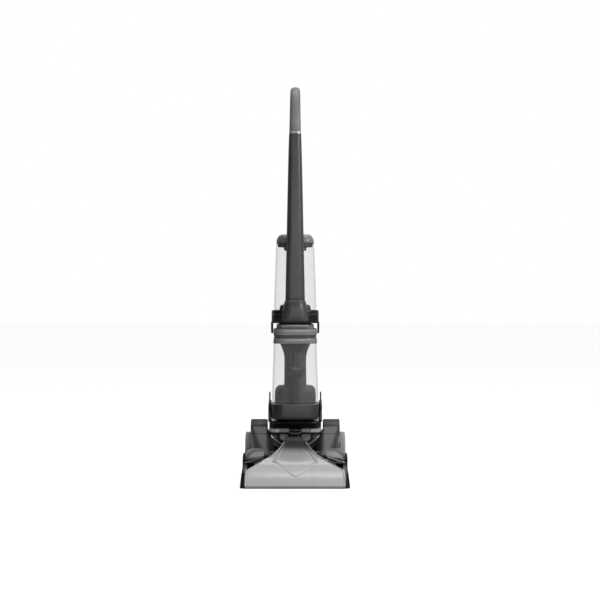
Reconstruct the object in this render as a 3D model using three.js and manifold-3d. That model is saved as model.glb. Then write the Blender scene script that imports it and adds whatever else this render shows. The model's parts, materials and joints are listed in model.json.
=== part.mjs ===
// Upright carpet cleaner: a floor foot with a brush and a clear suction nozzle, and a body that reclines on it.
// Millimetres, +Z up, +X to the machine's left hand seen from the front, and the front faces -Y.
// The origin is on the floor, under the middle of the machine.
import * as THREE from "three";
import { mergeVertices } from "three/addons/utils/BufferGeometryUtils.js";
import { ConvexGeometry } from "three/addons/geometries/ConvexGeometry.js";
import Module from "manifold-3d";

const wasm = await Module();
wasm.setup();

// Overall sizes
const footWidth = 300;
const footLength = 360;
const machineHeight = 1120;
const gap = 0.3; // between pieces that rest on each other
const play = 0.4; // round a shaft or pin in its bore

// Wheels and axle
const wheelRadius = 65;
const wheelWidth = 16;
const tyreThickness = 9;
const axleRadius = 4;
const wheelY = footLength / 2 - wheelRadius;

// Foot
const frontY = -footLength / 2;
const footWall = 3;
const deckHalf = 124;
const shoulderHalf = 141; // the foot is wider in front of the wheels
const splitZ = 45; // where the base tray meets the deck cover
const nozzleDepth = 13; // the nozzle's front and back, over the hood's front
const hoodFrontY = frontY + nozzleDepth + 1;
const hoodBackY = hoodFrontY + 78;
const footFrontY = hoodBackY + gap; // the tray and deck start behind the hood
const wheelInnerX = deckHalf + 4;
const shoulderBackY = 42;

// Brush
const brushRadius = 30;
const brushY = hoodFrontY + 42;
const brushZ = brushRadius + 2;
const brushCoreHalf = 110;
const chamberHalf = 132;
const chamberRadius = brushRadius + 4;
const beltX = -116.5;
const beltWidth = 5;
const beltThickness = 2;
const pulleyRim = 1;
const brushPulleyRadius = 14;
const motorPulleyRadius = 8;
const brushMotorY = -40;
const brushMotorZ = 37;

// Recline pivot
const pivotY = 60;
const pivotZ = 120;
const drumRadius = 45;
const drumHalf = 74;
const drumWall = 4;
const wellRadius = drumRadius + 5;
const wellHalf = drumHalf + 4;
const knuckleRadius = 48;
const knuckleInner = wellHalf + gap;
const knuckleOuter = 126;
const knuckleWall = 8;
const pinRadius = 9;

// Suction path
const ductRadius = 13;
const ductWall = 2;

// Body
const cradleHalf = 74;
const cradleWall = 4;
const saddleRise = 45.3; // from the hinge line to the cradle, so the saddle cuts a larger drum flat
const cradleZ = pivotZ + saddleRise;
const cradleFloor = 7;
const housingHalf = 59;
const housingFrontY = 42;
const housingBackY = 128;
const housingTopZ = 267;
const shellWall = 3;

// Dirty water tank
const tankBottomZ = 179;
const trayTopZ = 222;
const tankTopZ = 390;
const lidTopZ = 445;
const tankWall = 2.5;
const tankFrontY = -72;
const tankBackY = 34;
const inletY = 10;
const outletY = 10;
const outletRadius = 11;

// Collar and clean water tank
const collarBottomZ = lidTopZ + 2;
const collarTopZ = 484;
const collarHalf = 66;
const collarFrontY = -78;
const collarBackY = 98;
const cleanBottomZ = collarTopZ + 1;
const cleanTopZ = 672;
const capTopZ = 697;

// Handle
const stickTopZ = 980;
const stickBottomZ = collarTopZ + gap;

const materials = {};

function material(name, color, roughness, metalness = 0, opacity = 1) {
  materials[name] = new THREE.MeshStandardMaterial({
    name,
    color,
    roughness,
    metalness,
    opacity,
    transparent: opacity < 1,
  });
}

material("black_plastic", 0x2c2d2f, 0.45);
material("graphite_plastic", 0x4a4b4e, 0.5);
material("grip_plastic", 0x6c6d70, 0.6);
material("silver_plastic", 0x9a9b9e, 0.35);
material("smoke_window", 0xa9abae, 0.2, 0, 0.75);
material("clear_plastic", 0xe4e7ea, 0.1, 0, 0.3);
material("smoke_plastic", 0x808286, 0.3, 0, 0.8);
material("tyre_rubber", 0x77787b, 0.8);
material("seal_rubber", 0x1a1a1a, 0.8);
material("lip_rubber", 0x6f7072, 0.7);
material("bristle", 0x3a3d42, 0.9);
material("steel", 0xb8bbc0, 0.35, 1);
material("motor_steel", 0x8d9095, 0.4, 0.9);

// ---- Shapes ------------------------------------------------------------------------------------

// A closed geometry as a manifold-3d solid, with its shared vertices merged.
function solid(geometry) {
  const bare = geometry.index ? geometry.toNonIndexed() : geometry.clone();
  bare.deleteAttribute("normal");
  bare.deleteAttribute("uv");
  const merged = mergeVertices(bare, 1e-3);
  const made = new wasm.Mesh({
    numProp: 3,
    vertProperties: merged.attributes.position.array,
    triVerts: new Uint32Array(merged.index.array),
  });
  return new wasm.Manifold(made);
}

function geometryOf(made) {
  const mesh = made.getMesh();
  const geometry = new THREE.BufferGeometry();
  geometry.setAttribute("position", new THREE.BufferAttribute(mesh.vertProperties, 3));
  geometry.setIndex(new THREE.BufferAttribute(mesh.triVerts, 1));
  geometry.computeVertexNormals();
  return geometry;
}

function box(x0, x1, y0, y1, z0, z1) {
  const geometry = new THREE.BoxGeometry(x1 - x0, y1 - y0, z1 - z0);
  return solid(geometry.translate((x0 + x1) / 2, (y0 + y1) / 2, (z0 + z1) / 2));
}

function rodX(radius, x0, x1, y, z, sides = 32) {
  const geometry = new THREE.CylinderGeometry(radius, radius, x1 - x0, sides).rotateZ(Math.PI / 2);
  return solid(geometry.translate((x0 + x1) / 2, y, z));
}

function rodY(radius, y0, y1, x, z, sides = 24) {
  const geometry = new THREE.CylinderGeometry(radius, radius, y1 - y0, sides);
  return solid(geometry.translate(x, (y0 + y1) / 2, z));
}

function rodZ(radius, z0, z1, x, y, sides = 32) {
  const geometry = new THREE.CylinderGeometry(radius, radius, z1 - z0, sides).rotateX(Math.PI / 2);
  return solid(geometry.translate(x, y, (z0 + z1) / 2));
}

// A ring turned about the Z axis, from [radius, z] points that close on themselves.
function turned(profile, sides = 32) {
  const points = [...profile, profile[0]].map(([r, z]) => new THREE.Vector2(r, z));
  return new THREE.LatheGeometry(points, sides).rotateX(Math.PI / 2);
}

// A side outline, given as a Shape in (y, z), pulled along X.
function sideways(shape, x0, x1, options = {}) {
  const geometry = new THREE.ExtrudeGeometry(shape, {
    depth: x1 - x0,
    bevelEnabled: false,
    curveSegments: 10,
    ...options,
  });
  const turn = new THREE.Matrix4().makeBasis(
    new THREE.Vector3(0, 1, 0),
    new THREE.Vector3(0, 0, 1),
    new THREE.Vector3(1, 0, 0),
  );
  return geometry.applyMatrix4(turn).translate(x0, 0, 0);
}

// One level of a lofted body: a rounded rectangle at height z, with its own front and back corners.
function level(z, halfX, y0, y1, backRadius, frontRadius = backRadius) {
  return { z, halfX, y0, y1, backRadius, frontRadius };
}

function levelPoints(l, inset, steps) {
  const corners = [
    [1, 1, 0],
    [-1, 1, 90],
    [-1, -1, 180],
    [1, -1, 270],
  ];
  const points = [];
  for (const [sx, sy, start] of corners) {
    const radius = Math.max((sy > 0 ? l.backRadius : l.frontRadius) - inset, 1);
    const x = sx * (l.halfX - inset - radius);
    const y = sy > 0 ? l.y1 - inset - radius : l.y0 + inset + radius;
    for (let k = 0; k <= steps; k++) {
      const angle = THREE.MathUtils.degToRad(start + (90 * k) / steps);
      points.push(new THREE.Vector3(x + radius * Math.cos(angle), y + radius * Math.sin(angle), l.z));
    }
  }
  return points;
}

// A closed surface through rings of points, each ring anticlockwise seen from the last ring's end.
function loft(rings) {
  const count = rings[0].length;
  const positions = rings.flat().flatMap((p) => [p.x, p.y, p.z]);
  const faces = [];
  for (let i = 0; i + 1 < rings.length; i++) {
    for (let j = 0; j < count; j++) {
      const a = i * count + j;
      const b = i * count + ((j + 1) % count);
      faces.push(a, b, b + count, a, b + count, a + count);
    }
  }
  for (const [ring, flip] of [
    [0, true],
    [rings.length - 1, false],
  ]) {
    const middle = rings[ring].reduce((s, p) => s.add(p), new THREE.Vector3()).divideScalar(count);
    const centre = positions.length / 3;
    positions.push(middle.x, middle.y, middle.z);
    for (let j = 0; j < count; j++) {
      const a = ring * count + j;
      const b = ring * count + ((j + 1) % count);
      faces.push(centre, flip ? b : a, flip ? a : b);
    }
  }
  const geometry = new THREE.BufferGeometry();
  geometry.setAttribute("position", new THREE.Float32BufferAttribute(positions, 3));
  geometry.setIndex(faces);
  return solid(geometry);
}

function stack(levels, inset = 0, steps = 4) {
  return loft(levels.map((l) => levelPoints(l, inset, steps)));
}

function atHeight(l, z) {
  return { ...l, z };
}

// The same levels with the first and last moved to new heights.
function between(levels, z0, z1) {
  const inner = levels.slice(1, -1);
  return [atHeight(levels[0], z0), ...inner, atHeight(levels.at(-1), z1)];
}

// A tube of round section along a curve.
function pipe(points, radius, sides = 9, steps = 8) {
  const curve = new THREE.CatmullRomCurve3(points.map((p) => new THREE.Vector3(...p)));
  const section = new THREE.Shape().absarc(0, 0, radius, 0, 2 * Math.PI);
  const geometry = new THREE.ExtrudeGeometry(section, {
    steps,
    curveSegments: sides,
    extrudePath: curve,
    bevelEnabled: false,
  });
  return solid(geometry);
}

// A pipe with a bore, whose ends are open because the bore runs a little past them.
function hollowPipe(points, radius, wall) {
  const ends = [points[0], points.at(-1)];
  const next = [points[1], points.at(-2)];
  const past = ends.map((p, i) => p.map((v, k) => v + (v - next[i][k]) * 0.08));
  return pipe(points, radius).subtract(pipe([past[0], ...points.slice(1, -1), past[1]], radius - wall));
}

// The tight wrap round two circles in the side view, as a belt takes.
function wrap(x0, x1, circles) {
  const points = [];
  for (const [y, z, radius] of circles) {
    for (let k = 0; k < 24; k++) {
      const angle = (k / 24) * 2 * Math.PI;
      for (const x of [x0, x1]) {
        points.push(new THREE.Vector3(x, y + radius * Math.cos(angle), z + radius * Math.sin(angle)));
      }
    }
  }
  return solid(new ConvexGeometry(points));
}

function mirrored(made) {
  return made.mirror([1, 0, 0]);
}

// ---- Foot --------------------------------------------------------------------------------------

const deckLevels = [
  level(splitZ + gap, deckHalf, footFrontY, 152, 14),
  level(66, deckHalf, footFrontY, 150, 14),
  level(84, deckHalf - 12, footFrontY, 134, 20, 12),
  level(92, deckHalf - 28, footFrontY + 4, 112, 24, 12),
];

const shoulderLevels = [
  level(16, shoulderHalf - 2, footFrontY, shoulderBackY - 4, 30, 8),
  level(splitZ, shoulderHalf, footFrontY, shoulderBackY, 34, 8),
  level(66, shoulderHalf - 2, footFrontY, shoulderBackY - 6, 34, 8),
  level(80, shoulderHalf - 10, footFrontY, shoulderBackY - 26, 30, 8),
  level(86, shoulderHalf - 24, footFrontY + 3, shoulderBackY - 44, 24, 8),
];

function axleHole() {
  return rodX(axleRadius + play, -footWidth / 2, footWidth / 2, wheelY, wheelRadius, 16);
}

function beltSlot() {
  return box(beltX - 3.9, beltX + 5, hoodBackY - 30, footFrontY + 12, 14, 58);
}

function footBase() {
  const outer = [level(10, deckHalf - 1.5, footFrontY, 146, 14), level(splitZ, deckHalf, footFrontY, 152, 14)];
  const inner = between(outer, 10 + footWall, splitZ + 1);
  let made = stack(outer)
    .add(stack(shoulderLevels.slice(0, 2)))
    .subtract(stack(inner, footWall))
    .subtract(stack(between(shoulderLevels.slice(0, 2), 16 + footWall, splitZ + 1), footWall));
  for (const side of [-1, 1]) {
    const x = side * 100;
    const ear = box(x - 4, x + 4, wheelY - 14, wheelY + 14, 11, wheelRadius + 14);
    made = made.add(ear);
  }
  const saddle = box(-66, 24, brushMotorY - 16, brushMotorY + 16, 11, brushMotorZ - 4);
  made = made.add(saddle.subtract(rodX(22 + gap, -70, 30, brushMotorY, brushMotorZ, 24)));
  return made.subtract(axleHole()).subtract(beltSlot());
}

function wellSpace(radius, half, floorZ) {
  const drum = rodX(radius, -half, half, pivotY, pivotZ, 48);
  return drum.add(box(-half, half, pivotY, 200, floorZ, pivotZ + 20));
}

function deckCover() {
  const shoulders = [atHeight(shoulderLevels[1], splitZ + gap), ...shoulderLevels.slice(2)];
  const outer = stack(deckLevels).add(stack(shoulders));
  const inner = stack(between(deckLevels, splitZ - 1, 92 - footWall), footWall).add(
    stack(between(shoulders, splitZ - 1, 86 - footWall), footWall),
  );
  const liner = outer.intersect(wellSpace(wellRadius + footWall, wellHalf + footWall, 73));
  const pedalSlot = box(-74, -34, 140, 160, 54, 66);
  return outer
    .subtract(inner)
    .add(liner)
    .subtract(wellSpace(wellRadius, wellHalf, 76))
    .subtract(axleHole())
    .subtract(beltSlot())
    .subtract(pedalSlot);
}

// Oval sections of each arm from the pivot down to the deck: depth behind the hood, height, middle and halves.
const armSections = [
  { y: 60, z: 96, x: 93, halfX: 25, halfZ: 26 },
  { y: 40, z: 93, x: 89, halfX: 28, halfZ: 21 },
  { y: 18, z: 84, x: 82, halfX: 30, halfZ: 17 },
  { y: 6, z: 77, x: 78, halfX: 26, halfZ: 13 },
  { y: 0.8, z: 73, x: 76, halfX: 17, halfZ: 8 },
];

function pivotArm() {
  const points = [];
  for (let k = 0; k < 32; k++) {
    const angle = (k / 32) * 2 * Math.PI;
    for (const x of [knuckleInner, knuckleOuter]) {
      const y = pivotY + knuckleRadius * Math.cos(angle);
      points.push(new THREE.Vector3(x, y, pivotZ + knuckleRadius * Math.sin(angle)));
    }
  }
  for (const s of armSections) {
    for (let k = 0; k < 20; k++) {
      const angle = (k / 20) * 2 * Math.PI;
      const x = s.x + s.halfX * Math.cos(angle);
      points.push(new THREE.Vector3(x, footFrontY + s.y, s.z + s.halfZ * Math.sin(angle)));
    }
  }
  const pocketX = knuckleInner + knuckleWall;
  const over = (l) => ({ ...l, halfX: l.halfX + gap, y1: l.y1 + gap, z: l.z + gap });
  const deck = stack(between(deckLevels.map(over), 20, 92 + gap)).add(
    stack(between(shoulderLevels.map(over), 20, 86 + gap)),
  );
  return solid(new ConvexGeometry(points))
    .subtract(deck)
    .subtract(rodX(wellRadius, 0, knuckleInner, pivotY, pivotZ, 48))
    .subtract(box(0, knuckleInner, pivotY - wellRadius, pivotY, pivotZ, 200))
    .subtract(rodX(knuckleRadius - 8, pocketX, knuckleOuter + 1, pivotY, pivotZ))
    .subtract(rodX(pinRadius + play, knuckleInner - 1, pocketX + 1, pivotY, pivotZ, 24));
}

function knuckleCap() {
  const x0 = knuckleOuter - 6;
  const disc = rodX(knuckleRadius - 8 - gap, x0, knuckleOuter + 1, pivotY, pivotZ);
  return disc.subtract(rodX(knuckleRadius - 20, knuckleOuter - 1, knuckleOuter + 2, pivotY, pivotZ));
}

function pivotPin() {
  const headX = knuckleInner + knuckleWall + gap;
  const shank = rodX(pinRadius, drumHalf - drumWall - 6, headX + 1, pivotY, pivotZ, 24);
  return shank.add(rodX(pinRadius + 6, headX, headX + 5, pivotY, pivotZ, 24));
}

function brushHood() {
  const outer = [
    level(0, footWidth / 2, hoodFrontY, hoodBackY, 8),
    level(30, footWidth / 2 - 1, hoodFrontY, hoodBackY, 10),
    level(52, footWidth / 2 - 3, hoodFrontY + 8, hoodBackY, 10),
    level(68, footWidth / 2 - 6, hoodFrontY + 24, hoodBackY, 12),
    level(78, footWidth / 2 - 11, hoodFrontY + 42, hoodBackY, 10),
  ];
  const chamber = rodX(chamberRadius, -chamberHalf, chamberHalf, brushY, brushZ, 32)
    .add(box(-chamberHalf, chamberHalf, brushY - chamberRadius, brushY, -1, brushZ))
    .add(box(-chamberHalf, chamberHalf, brushY, hoodBackY - 4, -1, brushZ + chamberRadius));
  const relief = box(-chamberHalf, chamberHalf, hoodFrontY - 1, hoodBackY + 1, -1, 5);
  return stack(outer).subtract(chamber).subtract(relief).subtract(beltSlot());
}

function brushRoll() {
  const lobes = 6;
  const tuft = 0.36; // share of each lobe's arc that carries bristle
  const shape = new THREE.Shape();
  const coreRadius = brushRadius - 13;
  for (let k = 0; k < lobes; k++) {
    const start = (k / lobes) * 2 * Math.PI;
    const width = (tuft / lobes) * 2 * Math.PI;
    for (const [radius, angle] of [
      [coreRadius, start],
      [brushRadius, start + width * 0.15],
      [brushRadius, start + width * 0.85],
      [coreRadius, start + width],
    ]) {
      const x = radius * Math.cos(angle);
      const y = radius * Math.sin(angle);
      if (k === 0 && radius === coreRadius && angle === start) shape.moveTo(x, y);
      else shape.lineTo(x, y);
    }
  }
  const steps = 14;
  const geometry = sideways(shape, -brushCoreHalf, brushCoreHalf, { steps });
  const place = geometry.attributes.position;
  for (let i = 0; i < place.count; i++) {
    const turn = (place.getX(i) / brushCoreHalf) * 0.9;
    const y = place.getY(i);
    const z = place.getZ(i);
    place.setY(i, y * Math.cos(turn) - z * Math.sin(turn) + brushY);
    place.setZ(i, y * Math.sin(turn) + z * Math.cos(turn) + brushZ);
  }
  return solid(geometry).add(rodX(axleRadius, -chamberHalf + 2, chamberHalf - 2, brushY, brushZ, 16));
}

function pulley(radius, y, z, bore) {
  const half = beltWidth / 2;
  const wheel = rodX(radius, beltX - half, beltX + half, y, z, 24)
    .add(rodX(radius + 2, beltX - half - pulleyRim, beltX - half, y, z, 24))
    .add(rodX(radius + 2, beltX + half, beltX + half + pulleyRim, y, z, 24));
  return wheel.subtract(rodX(bore, beltX - 8, beltX + 8, y, z, 16));
}

function driveBelt() {
  const half = beltWidth / 2 - gap;
  const round = (extra) => [
    [brushY, brushZ, brushPulleyRadius + extra],
    [brushMotorY, brushMotorZ, motorPulleyRadius + extra],
  ];
  const outer = wrap(beltX - half, beltX + half, round(gap + beltThickness));
  return outer.subtract(wrap(beltX - half - 1, beltX + half + 1, round(gap)));
}

function brushBearing(x0, x1) {
  return rodX(16, x0, x1, brushY, brushZ, 24).subtract(
    rodX(axleRadius + play, x0 - 1, x1 + 1, brushY, brushZ, 16),
  );
}

function brushMotor() {
  const shaft = rodX(3, beltX - 3, -50, brushMotorY, brushMotorZ, 16);
  const can = rodX(22, -60, 18, brushMotorY, brushMotorZ, 24);
  const boss = rodX(9, 18, 26, brushMotorY, brushMotorZ, 16);
  return can.add(boss).add(shaft);
}

function sprayBar() {
  const y = hoodBackY - 9;
  const z = brushZ + chamberRadius - 6;
  let made = rodX(4.5, -chamberHalf + gap, chamberHalf - gap, y, z, 16);
  for (const x of [-82, -28, 28, 82]) {
    const tip = new THREE.CylinderGeometry(4, 2.2, 6, 12).rotateX(Math.PI / 2).translate(x, y, z - 5.5);
    made = made.add(solid(tip));
  }
  return made;
}

function waterPump() {
  const body = box(38, 92, -44, 6, 14, 46);
  const inlet = rodX(3.5, 24, 38.5, -20, 36, 12);
  const outlet = rodY(3.5, -58, -43.5, 64, 36, 12);
  return body.add(inlet).add(outlet);
}

function recliningPedal() {
  const pad = box(-72, -36, 152, 178, 56, 62);
  const tongue = box(-64, -44, 142, 153, 57, 61);
  return pad.add(tongue);
}

// ---- Wheels ------------------------------------------------------------------------------------

function tyreGeometry() {
  const inner = wheelRadius - tyreThickness;
  const half = wheelWidth / 2;
  const profile = [
    [inner, -half],
    [wheelRadius - 3, -half],
    [wheelRadius, -half + 3],
    [wheelRadius, half - 3],
    [wheelRadius - 3, half],
    [inner, half],
  ];
  return turned(profile, 48);
}

function hubGeometry() {
  const outer = wheelRadius - tyreThickness - gap;
  const half = wheelWidth / 2;
  const bore = axleRadius + play;
  const profile = [
    [bore, -half + 2],
    [14, -half + 2],
    [16, -2],
    [outer - 6, -2],
    [outer - 5, -half + 1],
    [outer, -half + 1],
    [outer, half - 1],
    [outer - 5, half - 1],
    [outer - 6, 2],
    [16, 2],
    [14, half - 1],
    [bore, half - 1],
  ];
  return turned(profile, 32);
}

function onAxle(geometry, side) {
  const x = side * (wheelInnerX + wheelWidth / 2);
  return solid(geometry.rotateY((side * Math.PI) / 2).translate(x, wheelY, wheelRadius));
}

// ---- Nozzle ------------------------------------------------------------------------------------

// Its front surface in the side view, with the half width there and the depth of the suction duct.
const nozzleStations = [
  { y: frontY, z: 8, half: 137, depth: nozzleDepth },
  { y: frontY, z: 30, half: 137, depth: nozzleDepth },
  { y: frontY + 4, z: 49, half: 136, depth: nozzleDepth },
  { y: frontY + 12, z: 64, half: 113, depth: nozzleDepth },
  { y: frontY + 27, z: 76, half: 86, depth: nozzleDepth },
  { y: frontY + 42, z: 86, half: 65, depth: nozzleDepth },
  { y: frontY + 68, z: 102, half: 45, depth: 16 },
  { y: frontY + 94, z: 117.5, half: 32, depth: 20 },
  { y: frontY + 118, z: 131.5, half: 22, depth: 24 },
];

// A block that follows the nozzle's front surface, between two depths below it.
function nozzleBlock(sideInset, from, to, extend = 0) {
  const rings = nozzleStations.map((s, i) => {
    const a = nozzleStations[Math.max(i - 1, 0)];
    const b = nozzleStations[Math.min(i + 1, nozzleStations.length - 1)];
    const along = new THREE.Vector2(b.y - a.y, b.z - a.z).normalize();
    const inward = new THREE.Vector2(along.y, -along.x);
    const half = s.half - sideInset;
    const last = i === nozzleStations.length - 1;
    const shift = i === 0 ? -extend : last ? extend : 0;
    const d0 = from(s);
    const d1 = to(s);
    return [
      [-half, d0],
      [-half, d1],
      [half, d1],
      [half, d0],
    ].map(([x, d]) => {
      const y = s.y + inward.x * d + along.x * shift;
      return new THREE.Vector3(x, y, s.z + inward.y * d + along.y * shift);
    });
  });
  return loft(rings.map((ring) => ring.reverse()));
}

function nozzleWindow() {
  const outer = nozzleBlock(0, () => 0, (s) => s.depth - 0.5);
  return outer.subtract(nozzleBlock(2.5, () => 2.5, (s) => s.depth + 4, 3));
}

function nozzleRearPlate() {
  return nozzleBlock(5, (s) => s.depth - 2.8, (s) => s.depth - 0.8);
}

function nozzleLip() {
  const outer = box(-136, 136, frontY + 0.2, frontY + nozzleDepth, 0.8, 8 - gap);
  return outer.subtract(box(-131, 131, frontY + 3.5, frontY + nozzleDepth - 3, 0, 9));
}

const slope = Math.atan2(14, 24); // of the nozzle's neck, above the horizontal

function nozzleLatch() {
  const outline = new THREE.Shape();
  outline.moveTo(-10, -3);
  outline.lineTo(10, -3);
  outline.lineTo(10, 1);
  outline.lineTo(7, 4);
  outline.lineTo(-10, 4);
  outline.closePath();
  const geometry = sideways(outline, -17, 17);
  return solid(geometry.rotateX(slope).translate(0, frontY + 127, 143));
}

// ---- Suction path ------------------------------------------------------------------------------

const hoseStart = [0, 9, 127];
const hoseEnd = [0, 34, 146];

function nozzleDuct() {
  const path = [[0, -55, 121.6], [0, -34, 133], [0, -14, 135], [0, hoseStart[1] - 2.8, 128.4]];
  return hollowPipe(path, ductRadius, ductWall);
}

function suctionHose() {
  const path = [hoseStart, [0, 20, 125.5], [0, 31, 130], [0, 33.8, 138], hoseEnd];
  return hollowPipe(path, ductRadius - 0.5, ductWall);
}

function inletElbow() {
  const path = [
    [0, hoseEnd[1] + 0.2, hoseEnd[2] + 3],
    [0, hoseEnd[1] - 0.5, 155],
    [0, inletY + 8, 164],
    [0, inletY + 0.5, 171],
    [0, inletY, tankBottomZ - 1],
  ];
  return hollowPipe(path, ductRadius, ductWall);
}

// ---- Body --------------------------------------------------------------------------------------

function drumSpace(radius, half, topZ) {
  const round = rodX(radius, -half, half, pivotY, pivotZ, 48);
  const saddle = box(-half, half, pivotY - radius, pivotY + radius, pivotZ, topZ);
  return round.add(saddle).subtract(box(-half - 1, half + 1, -200, 200, topZ, topZ + radius));
}

function neckDrum() {
  const top = cradleZ - gap;
  const outer = drumSpace(drumRadius, drumHalf, top);
  const inner = drumSpace(drumRadius - drumWall, drumHalf - drumWall, top + 1);
  const hoseSlot = box(-21, 21, 0, pivotY - 4, 60, top);
  const recess = box(-drumHalf - 1, drumHalf + 1, pivotY - drumRadius - 1, pivotY - 22, 155, top + 1);
  return outer
    .subtract(inner)
    .subtract(recess)
    .subtract(hoseSlot)
    .subtract(rodX(pinRadius + play, -drumHalf - 1, drumHalf + 1, pivotY, pivotZ, 24));
}

function cradle() {
  const floorTop = cradleZ + cradleFloor;
  const floor = stack([
    level(cradleZ, cradleHalf - 4, tankFrontY + 16, housingBackY, 30, 34),
    level(floorTop, cradleHalf, tankFrontY + 8, housingBackY, 30, 34),
  ]);
  const hornSide = new THREE.Shape();
  hornSide.moveTo(-34, floorTop - 1);
  hornSide.lineTo(housingFrontY - 2, floorTop - 1);
  hornSide.lineTo(housingFrontY - 2, 248);
  hornSide.quadraticCurveTo(20, 264, 4, 261);
  hornSide.quadraticCurveTo(-14, 256, -22, 226);
  hornSide.quadraticCurveTo(-28, 200, -34, floorTop - 1);
  const horns = solid(sideways(hornSide, -cradleHalf, cradleHalf)).subtract(
    box(-cradleHalf + cradleWall, cradleHalf - cradleWall, -100, 100, floorTop, 300),
  );
  const apronBack = pivotY - drumRadius - play;
  const apron = stack([
    level(151.5, 68, -36, apronBack, 8, 16),
    level(158, 72, -42, apronBack, 8, 22),
    level(cradleZ + 1, 72, -47, apronBack, 8, 26),
  ]).subtract(box(-20, 20, -12, 20, 140, cradleZ + 2));
  const hoseHole = box(-20, 20, -9, 56, cradleZ - 1, floorTop + 1);
  const motorVent = rodZ(16, cradleZ - 1, floorTop + 1, 0, 85, 24);
  return floor.add(horns).add(apron).subtract(hoseHole).subtract(motorVent);
}

const housingLevels = [
  level(cradleZ + cradleFloor + gap, housingHalf, housingFrontY, housingBackY, 30, 12),
  level(245, housingHalf, housingFrontY, housingBackY, 30, 12),
  level(259, housingHalf - 3, housingFrontY + 2, housingBackY - 4, 30, 14),
  level(housingTopZ, housingHalf - 10, housingFrontY + 7, housingBackY - 12, 26, 14),
];

function motorHousing() {
  const inner = between(housingLevels, cradleZ, housingTopZ - shellWall);
  let made = stack(housingLevels).subtract(stack(inner, shellWall));
  for (let row = 0; row < 5; row++) {
    const z = 186 + row * 7;
    made = made.subtract(box(-26, 14, housingBackY - 6, housingBackY + 2, z, z + 3.5));
  }
  return made
    .subtract(box(-28, 28, 54, 84, housingTopZ - 6, housingTopZ + 2))
    .subtract(rodY(9 + play, housingBackY - 6, housingBackY + 2, 0, 235))
    .subtract(rodY(7 + play, housingBackY - 6, housingBackY + 2, 34, 192, 16));
}

function vacuumMotor() {
  const can = rodZ(34, 178, 226, 0, 85);
  const flange = rodZ(37, 214, 218, 0, 85);
  return can.add(flange).subtract(rodZ(4 + play, 219, 227, 0, 85, 16));
}

function impeller() {
  let made = rodZ(4, 220, 244, 0, 85, 16).add(rodZ(32, 230, 232, 0, 85));
  made = made.add(rodZ(9, 231, 243, 0, 85, 16));
  for (let k = 0; k < 8; k++) {
    const blade = box(-1, 1, 6, 30, 231, 241).rotate([0, 0, k * 45 + 20]);
    made = made.add(blade.translate([0, 85, 0]));
  }
  return made;
}

function powerButton() {
  return rodY(9, housingBackY - 4, housingBackY + 3, 0, 235);
}

function cordGland() {
  const collar = rodY(7, housingBackY - 5, housingBackY + 1, 34, 192, 16);
  const mouth = rodY(9.5, housingBackY + gap, housingBackY + 7, 34, 192, 16);
  return collar.add(mouth).subtract(rodY(3.6, housingBackY - 6, housingBackY + 8, 34, 192, 12));
}

function column() {
  const front = 46;
  const back = 92;
  const levels = [
    level(housingTopZ + gap, 32, front, back, 14),
    level(345, 31.5, front, back, 14),
    level(360, 33.5, front, back, 14),
    level(374, 38, front, back, 15),
    level(390, 43.5, front, back, 16),
    level(412, 46, front, back + 1, 18),
    level(collarBottomZ - gap, 47, front, back + 2, 18),
  ];
  return stack(levels).subtract(stack(between(levels, housingTopZ - 1, collarBottomZ + 1), shellWall));
}

function waterLine() {
  const x = 24;
  const path = [
    [x, 72, collarTopZ - 22],
    [x, 72, 420],
    [x, 74, 330],
    [x, 72, 262],
  ];
  return pipe(path, 3, 4, 8);
}

const collarLevels = [
  level(collarBottomZ, collarHalf - 2, collarFrontY + 2, collarBackY - 2, 34, 40),
  level(collarBottomZ + 4, collarHalf, collarFrontY, collarBackY, 36, 42),
  level(collarTopZ - 4, collarHalf, collarFrontY, collarBackY, 36, 42),
  level(collarTopZ, collarHalf - 3, collarFrontY + 3, collarBackY - 3, 34, 40),
];

const valveY = 26;

function collar() {
  const inner = between(collarLevels, collarBottomZ + 4, collarTopZ - 4);
  const lobeSide = new THREE.Shape();
  lobeSide.moveTo(-34, collarBottomZ + 3);
  lobeSide.quadraticCurveTo(-30, 418, -4, 418);
  lobeSide.quadraticCurveTo(26, 418, 34, collarBottomZ + 3);
  lobeSide.closePath();
  const lobes = solid(sideways(lobeSide, -collarHalf, collarHalf)).subtract(
    box(-collarHalf + 3.4, collarHalf - 3.4, -100, 100, 400, collarBottomZ + 1),
  );
  const valveSeat = rodZ(11, collarTopZ - 6, collarTopZ + 1, 0, valveY, 24).add(
    rodZ(11, collarTopZ - 6, collarTopZ + 1, 0, valveY + 12, 24),
  );
  const lobesOnly = lobes.subtract(box(-200, 200, -200, 200, collarBottomZ + 2, 600));
  return stack(collarLevels)
    .subtract(stack(inner, shellWall + 1))
    .add(lobesOnly)
    .subtract(valveSeat)
    .subtract(rodZ(outletRadius, collarBottomZ - 1, collarBottomZ + 5, 0, outletY, 24))
    .subtract(box(-30, 30, 52, 86, collarBottomZ - 1, collarBottomZ + 5));
}

// ---- Handle ------------------------------------------------------------------------------------

const stickLevels = [
  level(stickBottomZ, 27, -80, -46, 10, 15),
  level(600, 25, -79.5, -46, 10, 14),
  level(capTopZ, 23, -78, -46, 10, 13),
  level(820, 20.5, -74, -44, 9, 12),
  level(910, 18.5, -68, -40, 9, 11),
  level(stickTopZ, 16.5, -60, -33, 8, 10),
];

function stick() {
  const bore = stack(between(stickLevels, stickBottomZ - 1, stickTopZ - 6), shellWall);
  return stack(stickLevels).subtract(bore);
}

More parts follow.
